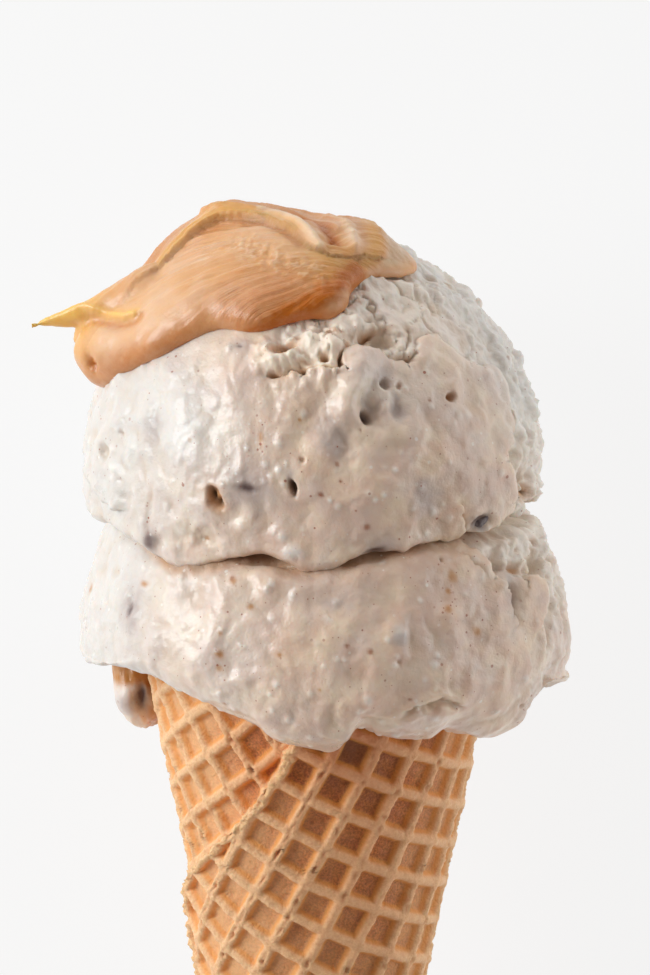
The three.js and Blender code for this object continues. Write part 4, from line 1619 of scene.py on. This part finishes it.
UPPER_MARKS = (
    *dots(
        Stain.RUSTY, 0,
        (5.6, 8.7, 0.5), (1.8, 1.5, 0.6), (12.5, -6.1, 0.9), (6.3, 4.7, 0.45), (72.6, 29.3, 0.5),
        (31, 22.6, 0.5),
    ),
    *dots(
        Stain.AMBER, 0,
        (-3.4, 19.3, 0.6), (-31.5, 13.1, 0.6),
    ),
    *dots(
        Stain.WHITE, 0.22,
        (-11.5, 8.3, 0.9), (-10.1, 5.8, 0.8), (-8.2, 7.3, 0.9), (-11.8, 4.3, 0.7), (-7.2, 4, 0.8),
        (14.3, 0.2, 0.8), (16.4, 1.3, 0.8), (19.4, 6.9, 0.7), (3.9, 0.3, 0.6),
    ),
    *marks(
        Stain.AMBER,
        (-24, -0.4, 1.9, 3, -1.5, 24, 5, 1.4), (-27.4, -10.8, 1.6, 1, -0.3, 10, 3, 0.5),
        (70.5, -5, 3, 2.4, -0.9, 0, 3, 1.1), (-13, 14.3, 1.8, 7, 0, 0, 2, 0.3),
        (37.6, 22.9, 1.3, 1.1, -1.6, 20, 5, 1.1), (27.5, 33.3, 2.6, 1.2, -1.4, -20, 5, 0.7),
        (64.7, -4.2, 2.6, 2.8, -1.8, 0, 5), (18.8, 41.8, 3.4, 0.8, -1.6, 8, 5),
        (-8.8, 36.9, 3, 1.7, -2.2, 25, 5), (-11, 29.6, 1.6, 1, -1.6, 0, 5, 0.9),
        (-3.1, 30.4, 1.3, 1, -1.4, 0, 5, 0.9), (3.1, 34, 1.4, 1.2, -1.5, 0, 5, 0.8),
        (8.2, 34.2, 0.8, 1.2, -1.6, 0, 5, 0.7),
    ),
    *marks(
        Stain.BROWN,
        (-24.9, 0.2, 0.7, 1.7, -0.6, 24, 4), (-23.3, -1.4, 1, 1.2, -0.5, 24, 4),
        (-5.1, 3.2, 1.1, 2.2, -2.2, 18, 5, 0.95), (71.5, -6, 1.4, 1, -0.4, 0, 4, 0.9),
    ),
    *marks(
        Stain.NONE,
        (-23.6, 0.2, 0.9, 1, 0.6, 24, 3), (-24.3, -1, 0.9, 0.8, 0.5, 24, 3),
        (-24.3, -0.2, 5.2, 5.6, 0.25, 10, 3), (-27, -10.4, 6.2, 5, 0.3, 10, 4),
        (19.3, 27.4, 1.2, 1.5, -1.3, 0, 5), (39, 25.5, 3, 2.4, 0.6, 20), (12, 44, 6, 3.6, 0.9, 30, 3),
    ),
    *marks(
        Stain.HALO,
        (-5.5, 5.4, 1.6, 3.6, -0.1, 8, 2, 0.7), (-44.6, 14.5, 3.4, 5.6, -0.2),
        (-15, 1.8, 7.4, 4.8, 0.1, -18, 2, 1.2), (-44.4, -12.6, 3.4, 4.4, 0.2, 20, 2, 1.2),
        (-22.4, 37.4, 3, 2.6, 0), (4.8, 14.8, 4, 6.5, -0.2, 10, 2, 0.9),
        (27.6, 0.4, 7, 7.5, -0.2, 0, 2, 0.7), (15.8, -11.6, 4.4, 2.4, 0, 10, 2, 1.2),
        (19, 29, 4.2, 5, -0.3, 0, 2, 0.5), (14.6, 21.4, 2.8, 5, -1.2, 20, 2, 0.65),
        (21.9, 21.1, 2.4, 3.6, -1, 10, 3),
    ),
    *marks(
        Stain.HOLLOW,
        (-27, -10.4, 4.6, 3.6, -0.9, 10, 4, 0.7), (-63, 6.4, 2.2, 2.2, -0.8, 0, 5),
        (68, 0.5, 5.5, 6.5, -0.9, 0, 3, 0.9), (20, 14, 5, 7, 0, 0, 2, 0.6),
        (7.5, 14.8, 3.4, 5, -1, 20, 2, 0.8), (45, 20, 4, 5, -0.5, 10, 2, 0.6),
        (59.5, 3.5, 4, 5, -0.9, 0, 4, 0.9), (19.3, 39.4, 5.6, 3, -1.8, 10, 6, 0.9),
    ),
    *marks(
        Stain.WHITE,
        (-4.9, -11.9, 3, 2, 0.6, 0, 2, 0.9), (-15.9, 3.5, 3.4, 0.8, 0.35, -8, 2, 0.5),
        (45.5, -10, 3.6, 1, 0.5, 10, 2, 0.8), (6.5, 38.5, 3.6, 4.2, 1, 0, 4, 0.7),
        (-14, 37.6, 3, 2.4, 0.8, 0, 3, 0.6),
    ),
    *marks(
        Stain.CHIP,
        (-15.9, 2.8, 3, 1.3, -0.3, -8, 3), (-44.6, -12.8, 2.2, 2.6, 0.1, 20, 3, 0.9),
        (44.5, -8.1, 3.4, 1.9, -0.5, 15, 4, 1.1), (-22.4, 37.2, 1.3, 0.9, -0.2, 0, 3, 0.7),
        (15, -12.2, 2.4, 1.1, -0.2, 10, 3), (13.6, 19.6, 1.6, 1.8, -1.6, 20, 5, 0.8),
    ),
    *marks(
        Stain.SPECKED,
        (-44.4, -5, 1.2, 6, -0.3, -12, 3, 1.1), (-42, -12.5, 1, 4, -0.2, -10, 3, 1.1),
        (-13, 16, 3.4, 7.5, 0, 0, 3),
    ),
    *marks(
        Stain.DOUGH,
        (0.4, 36, 9.5, 7.4, 1.4, 10, 4, 1.1), (-8.4, 33.4, 5.6, 4, 1, 0, 4, 1.1),
        (3.4, 31.2, 5, 2.2, 0.8, 0, 4), (-13.6, 34, 3.6, 4.6, 0.8, 20, 3, 0.9),
    ),
)  # fmt: skip

UPPER_LINES = (
    Line(((14.8, 36.6), (11.5, 29.0), (8.8, 24.5), (6.8, 18.0)), Fold.RIDGE, 0.9, 1.2),
    Line(((33.5, -12.5), (38.3, -10.8), (38.6, -8.4), (38.2, -4.7), (35.6, -1.5)), Fold.FLAP, 0.8, 0.8),
    Line(
        ((-76, 3), (-73.9, 0.4), (-68.4, -1.9), (-62.8, -4.4), (-57.7, -6.3), (-53, -6.1)),
        Fold.FLAP, 0.7, 0.8,
    ),
)  # fmt: skip

UPPER_SKIN_EDGE = Line(
    (
        (50, -20), (51, -12), (50.4, -9.4), (51.2, -7.8), (57.4, -6), (56.7, -4.7), (57.4, -2.6),
        (55.9, 0.8), (53.1, 5.3), (55.2, 9), (61, 13), (60.5, 18), (64, 24), (61, 29),
        (55.5, 28.5), (50.2, 30.5), (45.7, 32.3), (44, 35.4), (41.1, 38.3), (38, 38.9), (34.5, 37.6),
        (32.5, 34), (28, 31.6), (23, 32.4), (21.2, 33.5), (17.8, 35.7), (16.9, 37), (14.6, 37.4),
        (10.7, 35.5), (8.8, 33.6), (10.2, 31.6), (7, 29.3), (3.4, 29.9), (0.2, 30.2), (-3.1, 28.6),
        (-5.9, 29.4), (-10.1, 28.8), (-13.4, 29.2), (-16.4, 33.6), (-22, 36), (-34, 41),
        (-60, 44), (-90, 40),
    ),
    Fold.FLAP, 1.15, 0.8, Stain.HOLLOW, 4.5, 0.7,
)  # fmt: skip

LOWER_MARKS = (
    *dots(
        Stain.RUSTY, 0,
        (-22.7, 25.6, 0.6), (5.4, 11.4, 0.6), (10.5, 10, 0.7), (19.6, -1.2, 0.45),
    ),
    *dots(
        Stain.AMBER, 0,
        (-23.8, 8.6, 0.6), (-23.6, 5.5, 0.9), (-23.7, 13.2, 0.6), (-17.1, 19.6, 0.9), (-9.5, 9.3, 0.6),
        (-23, -3.1, 0.6), (-22.2, 24.9, 1.1), (-80.7, 14.9, 1.2), (31.1, 21.8, 0.8),
        (29.5, 17.8, 1.1), (37.4, 12.2, 1.3), (-0.5, 1.9, 0.5),
    ),
    *dots(
        Stain.WHITE, 0.22,
        (15.6, 7, 0.9), (17.3, 13.5, 2), (14.4, 12.4, 0.8), (-12.2, 24.8, 1.1), (-13, 23.4, 1),
        (25.9, 8.2, 0.7), (23.2, 20.5, 0.7),
    ),
    *marks(
        Stain.HALO,
        (-51.5, 15, 4.4, 6, 0.1, 10, 2, 1.2), (1.8, 20.6, 6, 5, -0.2, 0, 2, 0.45),
        (17.3, 12.2, 7, 5, 0, 10, 2, 0.35), (50.4, 17.8, 3.4, 6.5, -0.5, -20, 2, 1.3),
    ),
    *marks(
        Stain.CHIP,
        (-51.7, 15, 1.5, 2.6, -0.1, 10, 3, 0.9), (50.2, 17, 1.5, 4.4, -0.6, -20, 3, 0.95),
    ),
    *marks(
        Stain.SPECKED,
        (30.2, 18, 3.6, 6, 0, 0, 3), (-23.2, 7.5, 2.4, 5, 0, 0, 3, 0.8),
    ),
    *marks(
        Stain.AMBER,
        (-23.2, 8.5, 2.6, 5, 0, 0, 2, 0.25), (-48.7, 21.4, 4, 2.4, 0, 0, 2, 0.4),
        (57.5, 23.6, 4, 2.2, -1.6, -20, 4, 0.7), (33, 25, 4, 6, 0, 0, 2, 0.35),
    ),
    *marks(
        Stain.HOLLOW,
        (48.9, 26, 3.4, 2.6, -1.4, -20, 4), (66.5, 22, 3, 3.6, -1.4, -10, 4),
        (26, 12, 3, 7, -0.4, 20, 2, 0.6),
    ),
    *marks(
        Stain.NONE,
        (60, 5, 2.4, 4, 0.5), (8, -1, 5, 4, 0.6), (-20, 3, 4, 3, 0.5),
    ),
)  # fmt: skip

LOWER_LINES = (
    Line(
        ((34.5, -6.2), (31.5, -3.9), (27, -3), (22.1, -3.4), (18.8, -5.1), (17.5, -6.4)),
        Fold.CREASE, 0.8, 0.55, Stain.HOLLOW,
    ),
    Line(((50.0, 10.0), (49.3, 14.5), (48.7, 19.8), (46.8, 22.5)), Fold.FLAP, 1.0, 0.8, Stain.HALO, 5.0, 0.6),
    Line(((43.0, 23.5), (41.5, 25.4), (39.1, 27.4), (37.6, 30.5)), Fold.FLAP, 0.5, 0.7, Stain.HOLLOW, 4.0),
    Line(((34.0, 8.0), (30.0, 14.0), (28.5, 20.0)), Fold.RIDGE, 0.5, 1.4),
    Line(((69.0, 26.0), (66.0, 18.0), (63.5, 9.0), (61.0, 2.0)), Fold.CREASE, 0.8, 0.9, Stain.HOLLOW),
    Line(((78.0, 24.0), (75.0, 14.0), (73.0, 4.0)), Fold.CREASE, 0.6, 0.8, Stain.HOLLOW),
)  # fmt: skip

LOWER_SKIN_EDGE = Line(
    (
        (62, -24), (58, -12), (55.5, -6.7), (54.5, -1.5), (53.8, 4.5), (57, 9.3), (61, 12.5),
        (63.5, 16.9), (63.5, 18.2), (61, 19.9), (57.3, 19.5), (54.5, 21.8), (50.3, 23.3), (47.4, 22.6),
        (46.3, 22.4), (45.8, 24.7), (45.3, 26.6), (44.1, 28.4), (43, 30.2), (41.3, 31.6), (38, 36),
    ),
    Fold.FLAP, 1.1, 0.8, Stain.HOLLOW, 4.0, 0.7,
)  # fmt: skip


# ---- the spread ----


@dataclass
class SpreadDollop:
    """A spoonful of nut spread draped over the upper scoop, with the point that the spoon drew out."""

    centre: Floats
    scoop_radius: float
    azimuth: float = -40.0
    latitude: float = 70.0
    thickness: float = 3.6
    columns: int = 220
    rows: int = 120
    voxel: float = 0.34
    horn_root: tuple[float, ...] = (-13.0, 0.6, 0.6)
    horn_tip: tuple[float, ...] = (-28.4, 0.0, 12.6)
    horn_girth: float = 5.8
    horn_rows: int = 40
    horn_columns: int = 36
    hole_at: tuple[float, float] = (-26.8, -6.2)
    dimple_at: tuple[float, float] = (19.1, -5.2)
    roll: Path = (
        (-22, -4), (-17.5, -2.6), (-14.2, -0.6), (-12, 1.5), (-10.2, 3.3), (-8.4, 4.5), (-6.5, 5.1),
        (-4.4, 5.1), (-1.5, 4), (1.1, 2.2), (3.7, -1.1), (5.5, -4.6), (6.9, -6.9), (9, -8), (12, -7),
        (16, -4.5),
    )  # fmt: skip
    tongue: Path = (
        (-6, 7.6), (-1.4, 5.9), (1.7, 4.6), (3.8, 2.3), (5.6, -0.6), (7, -4.3), (7.8, -6.4)
    )  # fmt: skip
    valley: Path = ((5.5, 5.0), (8.2, 1.5), (9.2, -2.5), (9.8, -4.8))
    fold: Path = ((9.0, 5.0), (11.0, 1.5), (12.0, -2.2), (12.4, -5.2))
    shoulder: Path = (
        (12, 12), (14.9, 3), (15.5, -2.9), (14.6, -6.8), (13.3, -9.6), (11.6, -12.8), (9.8, -15.8)
    )  # fmt: skip
    # where a painted reflection runs along the lower right edge
    shine: Path = ((4.5, -19.2), (9.0, -17.2), (11.8, -13.9), (13.6, -10.4))
    lip: Path = ((-27.5, 0.6), (-22.7, -0.8), (-20.9, -3.2), (-19.2, -5.4), (-17.4, -6.6))
    oily: Path = (
        (-19.6, -13.2), (-14.4, -16.4), (-9.9, -17), (-5.6, -17.7), (-0.4, -17.8), (3.3, -16.6), (7.5, -15),
        (10.8, -12.2), (12.9, -9),
    )  # fmt: skip
    pitted: Path = ((-2.6, -2.1), (-0.8, -4.5), (2.9, -9.2), (7.0, -11.4))
    reach: Curve = closed_curve(
        (
            (-157, 25.7), (-149, 23.4), (-142, 21.7), (-130, 18.5), (-115, 16.4), (-96, 17.5), (-81, 17.3),
            (-70, 17.6), (-60, 18.9), (-51, 18.3), (-43, 16.7), (-26, 16.6), (-10, 20.6), (4, 22), (25, 18.5),
            (60, 15.5), (100, 15), (130, 17), (155, 23), (170, 29.3), (188, 30.6),
        )
    )  # fmt: skip

    def axes(self) -> tuple[Floats, Floats, Floats]:
        """The directions of its middle, of its right and of its back."""
        middle = direction(self.azimuth, self.latitude)
        right = np.array([1.0, 0.0, 0.0]) - middle[0] * middle
        right /= np.linalg.norm(right)
        return middle, right, np.cross(right, middle) * np.sign(-np.cross(right, middle)[2])

    def over(self, p: Floats, q: Floats, height: Floats) -> Floats:
        """The points p to the right and q to the back of the middle, over the scoop."""
        middle, right, back = self.axes()
        p, q, height = np.broadcast_arrays(p, q, height)
        reach = np.hypot(p, q)
        angle = (reach / self.scoop_radius)[..., None]
        heading = (p[..., None] * right + q[..., None] * back) / np.maximum(reach, 1e-9)[..., None]
        ray = middle * np.cos(angle) + heading * np.sin(angle)
        return ray * (self.scoop_radius + height)[..., None] + self.centre

    def placed(self, points: Floats) -> tuple[Floats, Floats, Floats]:
        """The p, q and height over the scoop of points."""
        middle, right, back = self.axes()
        away = points - self.centre
        size = np.linalg.norm(away, axis=-1)
        unit = away / size[..., None]
        angle = np.arccos(np.clip(unit @ middle, -1, 1))
        flat = unit - (unit @ middle)[..., None] * middle
        flat /= np.maximum(np.linalg.norm(flat, axis=-1), 1e-9)[..., None]
        arc = angle * self.scoop_radius
        return arc * (flat @ right), arc * (flat @ back), size - self.scoop_radius

    def height(self, p: Floats, q: Floats) -> Floats:
        """Its thickness, as in the solid."""
        ridge = 2.8 * bump(np.hypot((p + 8) * 0.42, q - 9.5), 4.2)
        thin_right = ease(p, 8, 22) * -1.6
        trail = 5.0 * bump(np.hypot((p + 29) * 0.6, (q + 1) * 0.65), 4.6)
        crest = 0.9 * bump(p + 3.6, 2.4) * bump(q - 9, 4.5) - 1.1 * bump(p - 7, 4) * ease(q, 0.0, 5.0)
        back = 0.9 * bump(p - 16.5, 3.6) * ease(q, -4.0, 1.0)
        return self.thickness + ridge + thin_right + trail + crest + back

    def body(self) -> Shell:
        """The draped body as a closed grid."""
        angle = np.linspace(180.0, -180.0, self.columns, endpoint=False)[None, :]
        share = np.linspace(0.0, 1.0, self.rows)[:, None]
        out = np.sin(np.pi * share)
        reach = self.reach(-angle) * out
        p, q = reach * np.cos(np.radians(angle)), -reach * np.sin(np.radians(angle))
        top = self.height(p, q) * np.sqrt(np.clip(1 - out**6, 0, 1))
        under = -1.2 * np.sqrt(np.abs(np.cos(np.pi * share))) * np.ones_like(p)
        return ring_grid(self.over(p, q, np.where(share <= 0.5, top, under)))

    def horn(self) -> Shell:
        """The drawn-out point as a closed tapering tube."""
        share = np.linspace(0.0, 1.0, self.horn_rows)[:, None]
        spin = np.linspace(0.0, 2 * np.pi, self.horn_columns, endpoint=False)[None, :]
        root, tip = (self.over(*np.array(place)) for place in (self.horn_root, self.horn_tip))
        heading = tip - root
        spine = root + share * heading + (np.sin(np.pi * share) * [0.0, -0.6, 0.0])
        aim = heading / np.linalg.norm(heading)
        flat = np.cross(aim, [0.0, 0.0, 1.0])
        flat /= np.linalg.norm(flat)
        other = np.cross(aim, flat)
        blunt = np.sqrt(1 - (1 - np.minimum(share / 0.32, 1.0)) ** 2)
        thick = (self.horn_girth * (1 - share) ** 1.35 + 0.3) * blunt
        rim = thick[..., None] * (np.cos(spin)[..., None] * flat * 0.85 + np.sin(spin)[..., None] * other)
        points = spine[:, None, :] + rim
        points[0], points[-1] = spine[0], tip
        return ring_grid(points[::-1])

    def build(self, effects: SharedEffects) -> Object:
        """Fuses body and point into one skin, works the folds into it and dresses it."""
        obj = new_object("spread", *joined([self.body(), self.horn()]))
        remesh = obj.modifiers.new("fuse", "REMESH")
        remesh.mode = "VOXEL"
        remesh.voxel_size = self.voxel * MM
        remesh.use_smooth_shade = True
        relax = obj.modifiers.new("relax", "SMOOTH")
        relax.factor = 0.5
        relax.iterations = 12
        convert(obj)
        self.work_surface(obj)
        obj.data.materials.clear()
        obj.data.materials.append(SpreadFinish().build(effects))
        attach(obj, BODY)
        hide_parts("spread_dollop")
        return obj

    def work_surface(self, obj: Object) -> None:
        """Draws the spoon's streaks, the folds and the holes into the surface, and stains it, with painted
        shade and painted highlights among the stains.
        """
        noise = Noise(23)
        points, normals = points_of(obj), normals_of(obj)
        p, q, height = self.placed(points)
        sway = 0.35 * noise.layered(points, 2.6, 2)
        tongue, valley, fold, shoulder, shine, lip, oily, pitted = (
            beside(p + sway, q - sway, np.array(path))[0]
            for path in (
                self.tongue, self.valley, self.fold, self.shoulder,
                self.shine, self.lip, self.oily, self.pitted,
            )
        )  # fmt: skip
        roll, run = beside(p + 0.6 * sway, q - 0.6 * sway, np.array(self.roll))[:2]
        outside = ease(height, 0.5, 2.0)
        narrow = np.maximum(0.705 - 0.0295 * p, 0.32)
        across = (q + 8.3) / narrow + 0.6 * noise.soft(points, 6.0)
        in_band = ease(roll, -0.4, 0.4)
        across = mix(across, 1.6 * roll + 30, in_band)
        along = mix(p, 55 * run + 90, in_band)
        streaks = noise.soft(np.stack([along / 15, across / 1.5, 0 * p], axis=-1), 1.0)
        threads = noise.layered(np.stack([along / 8, across / 0.7, 0 * p + 3], axis=-1), 1.0, 2)
        film = ease(shoulder, 0.4, 2.2) * (p > 5)
        face = outside * (1 - in_band) * (1 - film)
        patch = bump(pitted, 2.2)
        gritty = noise.layered(points + 30, 1.0, 3, 0.7)
        early = ease(run, 0.10, 0.30) * (1 - ease(run, 0.62, 0.76))
        rim = ease(run, 0.22, 0.50) * (1 - ease(run, 0.74, 0.80))
        polar = np.degrees(np.arctan2(q, p))
        border = self.reach(polar) - np.hypot(p, q)
        skirt = ease(-border, -4.2, -0.4) * facing(polar, -146, 42)
        crest = bump(np.maximum(roll - mix(1.3, 0.5, ease(run, 0.2, 0.6)), 0), 1.3) * ease(roll, -0.25, 0.45)
        # painted shadow: the dark line beneath the rolled band
        under = bump(roll + 0.55, 0.65) * rim
        hole = bump(np.hypot(p - self.hole_at[0], q - self.hole_at[1]), 0.9)
        dimple = bump(np.hypot(p - self.dimple_at[0], q - self.dimple_at[1]), 0.8)
        trailing = ease(p + 0.5 * q, -22.0, -8.0)
        lift = (0.34 * streaks + 0.17 * threads) * (1 - film) * mix(0.35, 1.0, trailing)
        lift += 0.24 * patch * gritty * face
        lift += 0.9 * crest * early - 0.4 * under
        lift += 0.8 * bump(tongue, 0.7) - 0.8 * bump(valley, 0.9) + 0.7 * bump(fold, 0.8)
        lift += 0.45 * bump(lip, 0.45) - 0.5 * bump(lip + 1.1, 0.8) - 0.5 * film
        lift -= (1.0 - 0.6 * gritty) * hole + 1.2 * dimple
        lift += 0.10 * film * gritty + 0.12 * noise.layered(points + 60, 3.5, 2) + 0.5 * bump(oily + 0.3, 1.6)
        move_points(obj, points + normals * (outside * lift)[:, None])
        horn = ease(-p, 15.0, 25.0) * ease(height, 4.0, 8.5)
        # The deep mask darkens the oily path, the rims and the broad shade. Painted shade among them: the
        # shadow under the rolled band and under the lip's fold, and the broad shade towards the lower right
        # and the back.
        rims = np.maximum.reduce([0.4 * under, 0.9 * bump(valley, 1.1), hole, 0.5 * bump(lip + 1.2, 0.8)])
        rims = np.maximum.reduce([rims, 0.6 * skirt, 0.3 * bump(shoulder + 0.3, 1.3)])
        shade = 0.55 * ease(0.25 * (p + 5) - q - 7, 0.0, 10.0) * ease(p, -22.0, -8.0) + 0.2 * in_band
        shade = np.maximum(shade, 0.26 * ease(q, 0.0, 5.0))
        deep = np.maximum.reduce([bump(oily, mix(1.0, 2.2, ease(p, -10, 8))), rims, shade]) * (1 - 0.8 * horn)
        # The light mask paints highlights along the tongue and the small fold, glints on the gritty patch and
        # the reflection along the lower right edge.
        light = np.maximum(0.95 * bump(tongue, 0.6) * (p > 0), bump(fold, 0.8) * bump(q + 2.0, 3.5))
        light = np.maximum.reduce([light, 0.4 * face * patch * (gritty > 0.3), 0.6 * bump(shine, 0.8)])
        amber = 0.5 * bump(shoulder + 0.3, 1.1) * (q > -9) * (q < 5)
        amber = np.maximum(amber, 0.45 * bump(p - 9.5, 4.5) * bump(q + 9, 6) * (1 - film))
        thin = np.maximum.reduce(
            [0.85 * horn, 0.7 * bump(lip, 0.8), amber, 0.5 * crest * early, 0.6 * dimple]
        )
        values = {"deep": deep, "light": light * outside, "thin": thin * outside, "film": film * outside}
        for name, value in values.items():
            paint(obj, name, np.clip(value, 0, 1))
        calm = mix(0.1, 1.0, trailing) * mix(0.45, 1.0, ease(noise.soft(points, 5.0), -0.4, 0.4))
        paint(obj, "drawn", outside * (1 - film) * (1 - 0.6 * horn) * calm)
        paint(obj, "along", along)
        paint(obj, "across", across)


# ---- the studio ----


@dataclass(frozen=True)
class SoftLight:
    """A soft light panel: its place and aim in metres, its side and its strength in watts."""

    name: str
    place: tuple[float, float, float]
    side: float
    power: float
    colour: Colour = (1.0, 1.0, 1.0)

    def build(self) -> None:
        """Hangs the panel, turned to the cone's mouth."""
        panel = bpy.data.lights.new(self.name, "AREA")
        panel.size, panel.energy, panel.color = self.side, self.power, self.colour
        obj = bpy.data.objects.new(self.name, panel)
        obj.location = self.place
        aim = Vector(MOUTH * MM) - Vector(self.place)
        obj.rotation_euler = aim.to_track_quat("-Z", "Y").to_euler()
        bpy.context.scene.collection.objects.link(obj)


@dataclass
class Studio:
    """A pale floor, soft light from the left and a camera that looks down on the cone."""

    distance: float = 475.0
    elevation: float = 10.0
    aim_x: float = 1.349
    aim_y: float = 22.25
    picture_height: float = 975 * 0.142  # what the picture's height covers at the aimed distance
    sensor: float = 36.0
    sky_band: tuple[float, float] = (0.08, 0.75)
    floor_reach: float = 3.0
    floor_colour: Colour = (0.10, 0.10, 0.10)
    floor_glow: float = 0.845
    horizon: Colour = (0.90, 0.90, 0.90)
    zenith: Colour = (0.26, 0.235, 0.21)
    lights: tuple[SoftLight, ...] = (
        SoftLight("key_light", (-0.49, 0.24, 0.27), 0.30, 2.48, (0.91, 0.97, 1.0)),
        SoftLight("fill_light", (0.60, 0.10, 0.10), 0.40, 0.75, (0.84, 0.96, 1.0)),
    )

    def build(self) -> None:
        """Makes the camera, the lights, the world and the floor."""
        self.place_camera()
        for light in self.lights:
            light.build()
        self.make_world()
        self.lay_floor()

    def place_camera(self) -> None:
        """Puts up the camera, aimed at the middle of what it shows."""
        tilt = math.radians(self.elevation)
        camera = bpy.data.objects.new("camera", bpy.data.cameras.new("camera"))
        away = np.array([0.0, math.sin(tilt), math.cos(tilt)]) * self.distance
        camera.location = (np.array([self.aim_x, self.aim_y, 0.0]) + MOUTH + away) * MM
        camera.rotation_euler = (-tilt, 0.0, 0.0)
        camera.data.sensor_fit = "VERTICAL"
        camera.data.sensor_height = self.sensor
        camera.data.lens = self.sensor * self.distance / self.picture_height
        camera.data.clip_start, camera.data.clip_end = 0.01, 20.0
        bpy.context.scene.collection.objects.link(camera)
        bpy.context.scene.camera = camera

    def make_world(self) -> None:
        """Makes the soft light from all round, paler near the horizon."""
        world = bpy.data.worlds.new("studio")
        world.use_nodes = True
        sky = Tree(world.node_tree)
        heading = sky.add("ShaderNodeSeparateXYZ", {0: sky.add("ShaderNodeTexCoord").outputs["Generated"]})
        height = sky.remap(heading.outputs[2], *self.sky_band)
        backdrop = world.node_tree.nodes["Background"]
        world.node_tree.links.new(sky.blend(height, self.horizon, self.zenith), backdrop.inputs["Color"])
        bpy.context.scene.world = world
        bpy.context.scene.view_settings.view_transform = "Standard"

    def lay_floor(self) -> None:
        """Lays the pale floor that the cone rests on."""
        signs = np.array([(-1, -1, 0), (1, -1, 0), (1, 1, 0), (-1, 1, 0)])
        corners = self.floor_reach * signs / MM - MOUTH
        floor = new_object("floor", corners, [(0, 1, 2, 3)])
        tree, shader, material = new_material("pale_floor")
        surface: Inputs = {
            "Base Color": (*self.floor_colour, 1.0),
            "Emission Color": (1.0, 1.0, 1.0, 1.0),
            "Emission Strength": self.floor_glow,
            "Roughness": 0.9,
        }
        tree.feed(shader, surface)
        floor.data.materials.append(material)


# ---- assembly ----


def main() -> None:
    """Builds the studio and every piece of the cone, and logs each piece's faces."""
    logging.basicConfig(level=logging.INFO, format="%(name)s: %(message)s")
    Studio().build()
    effects = SharedEffects.build()
    cream = IceCreamFinish().build(effects)
    wafer = WaferCone()
    upper = UpperScoop(
        name="upper_scoop", node="scoop_upper", slot="ice_cream_upper", centre=np.array([-0.2, 25.8, -1.8]),
        radius=32.5, seed=8, marks=UPPER_MARKS, lines=UPPER_LINES, skin_edge=UPPER_SKIN_EDGE,
    )  # fmt: skip
    lower = LowerScoop(
        name="lower_scoop", node="scoop_lower", slot="ice_cream", centre=np.array([1.0, 0.0, 0.0]),
        radius=34.8, seed=5, marks=LOWER_MARKS, lines=LOWER_LINES, skin_edge=LOWER_SKIN_EDGE, wafer=wafer,
        lip_edge=upper.lip_edge,
    )  # fmt: skip
    dark = ChipFinish().build(effects)
    spread = SpreadDollop(upper.centre, upper.radius)
    chips = ChipSet("upper_scoop_chips", upper.centre, upper.radius, upper.slot, UPPER_CHIPS, seed=42)
    built = [lower.build(cream), upper.build(cream), wafer.build(effects), spread.build(effects)]
    built += [HangingLobe().build(cream), chips.build(dark)]
    for piece in built:
        LOG.info("%s: %d faces", piece.name, len(piece.data.polygons))


if __name__ == "__main__":
    main()
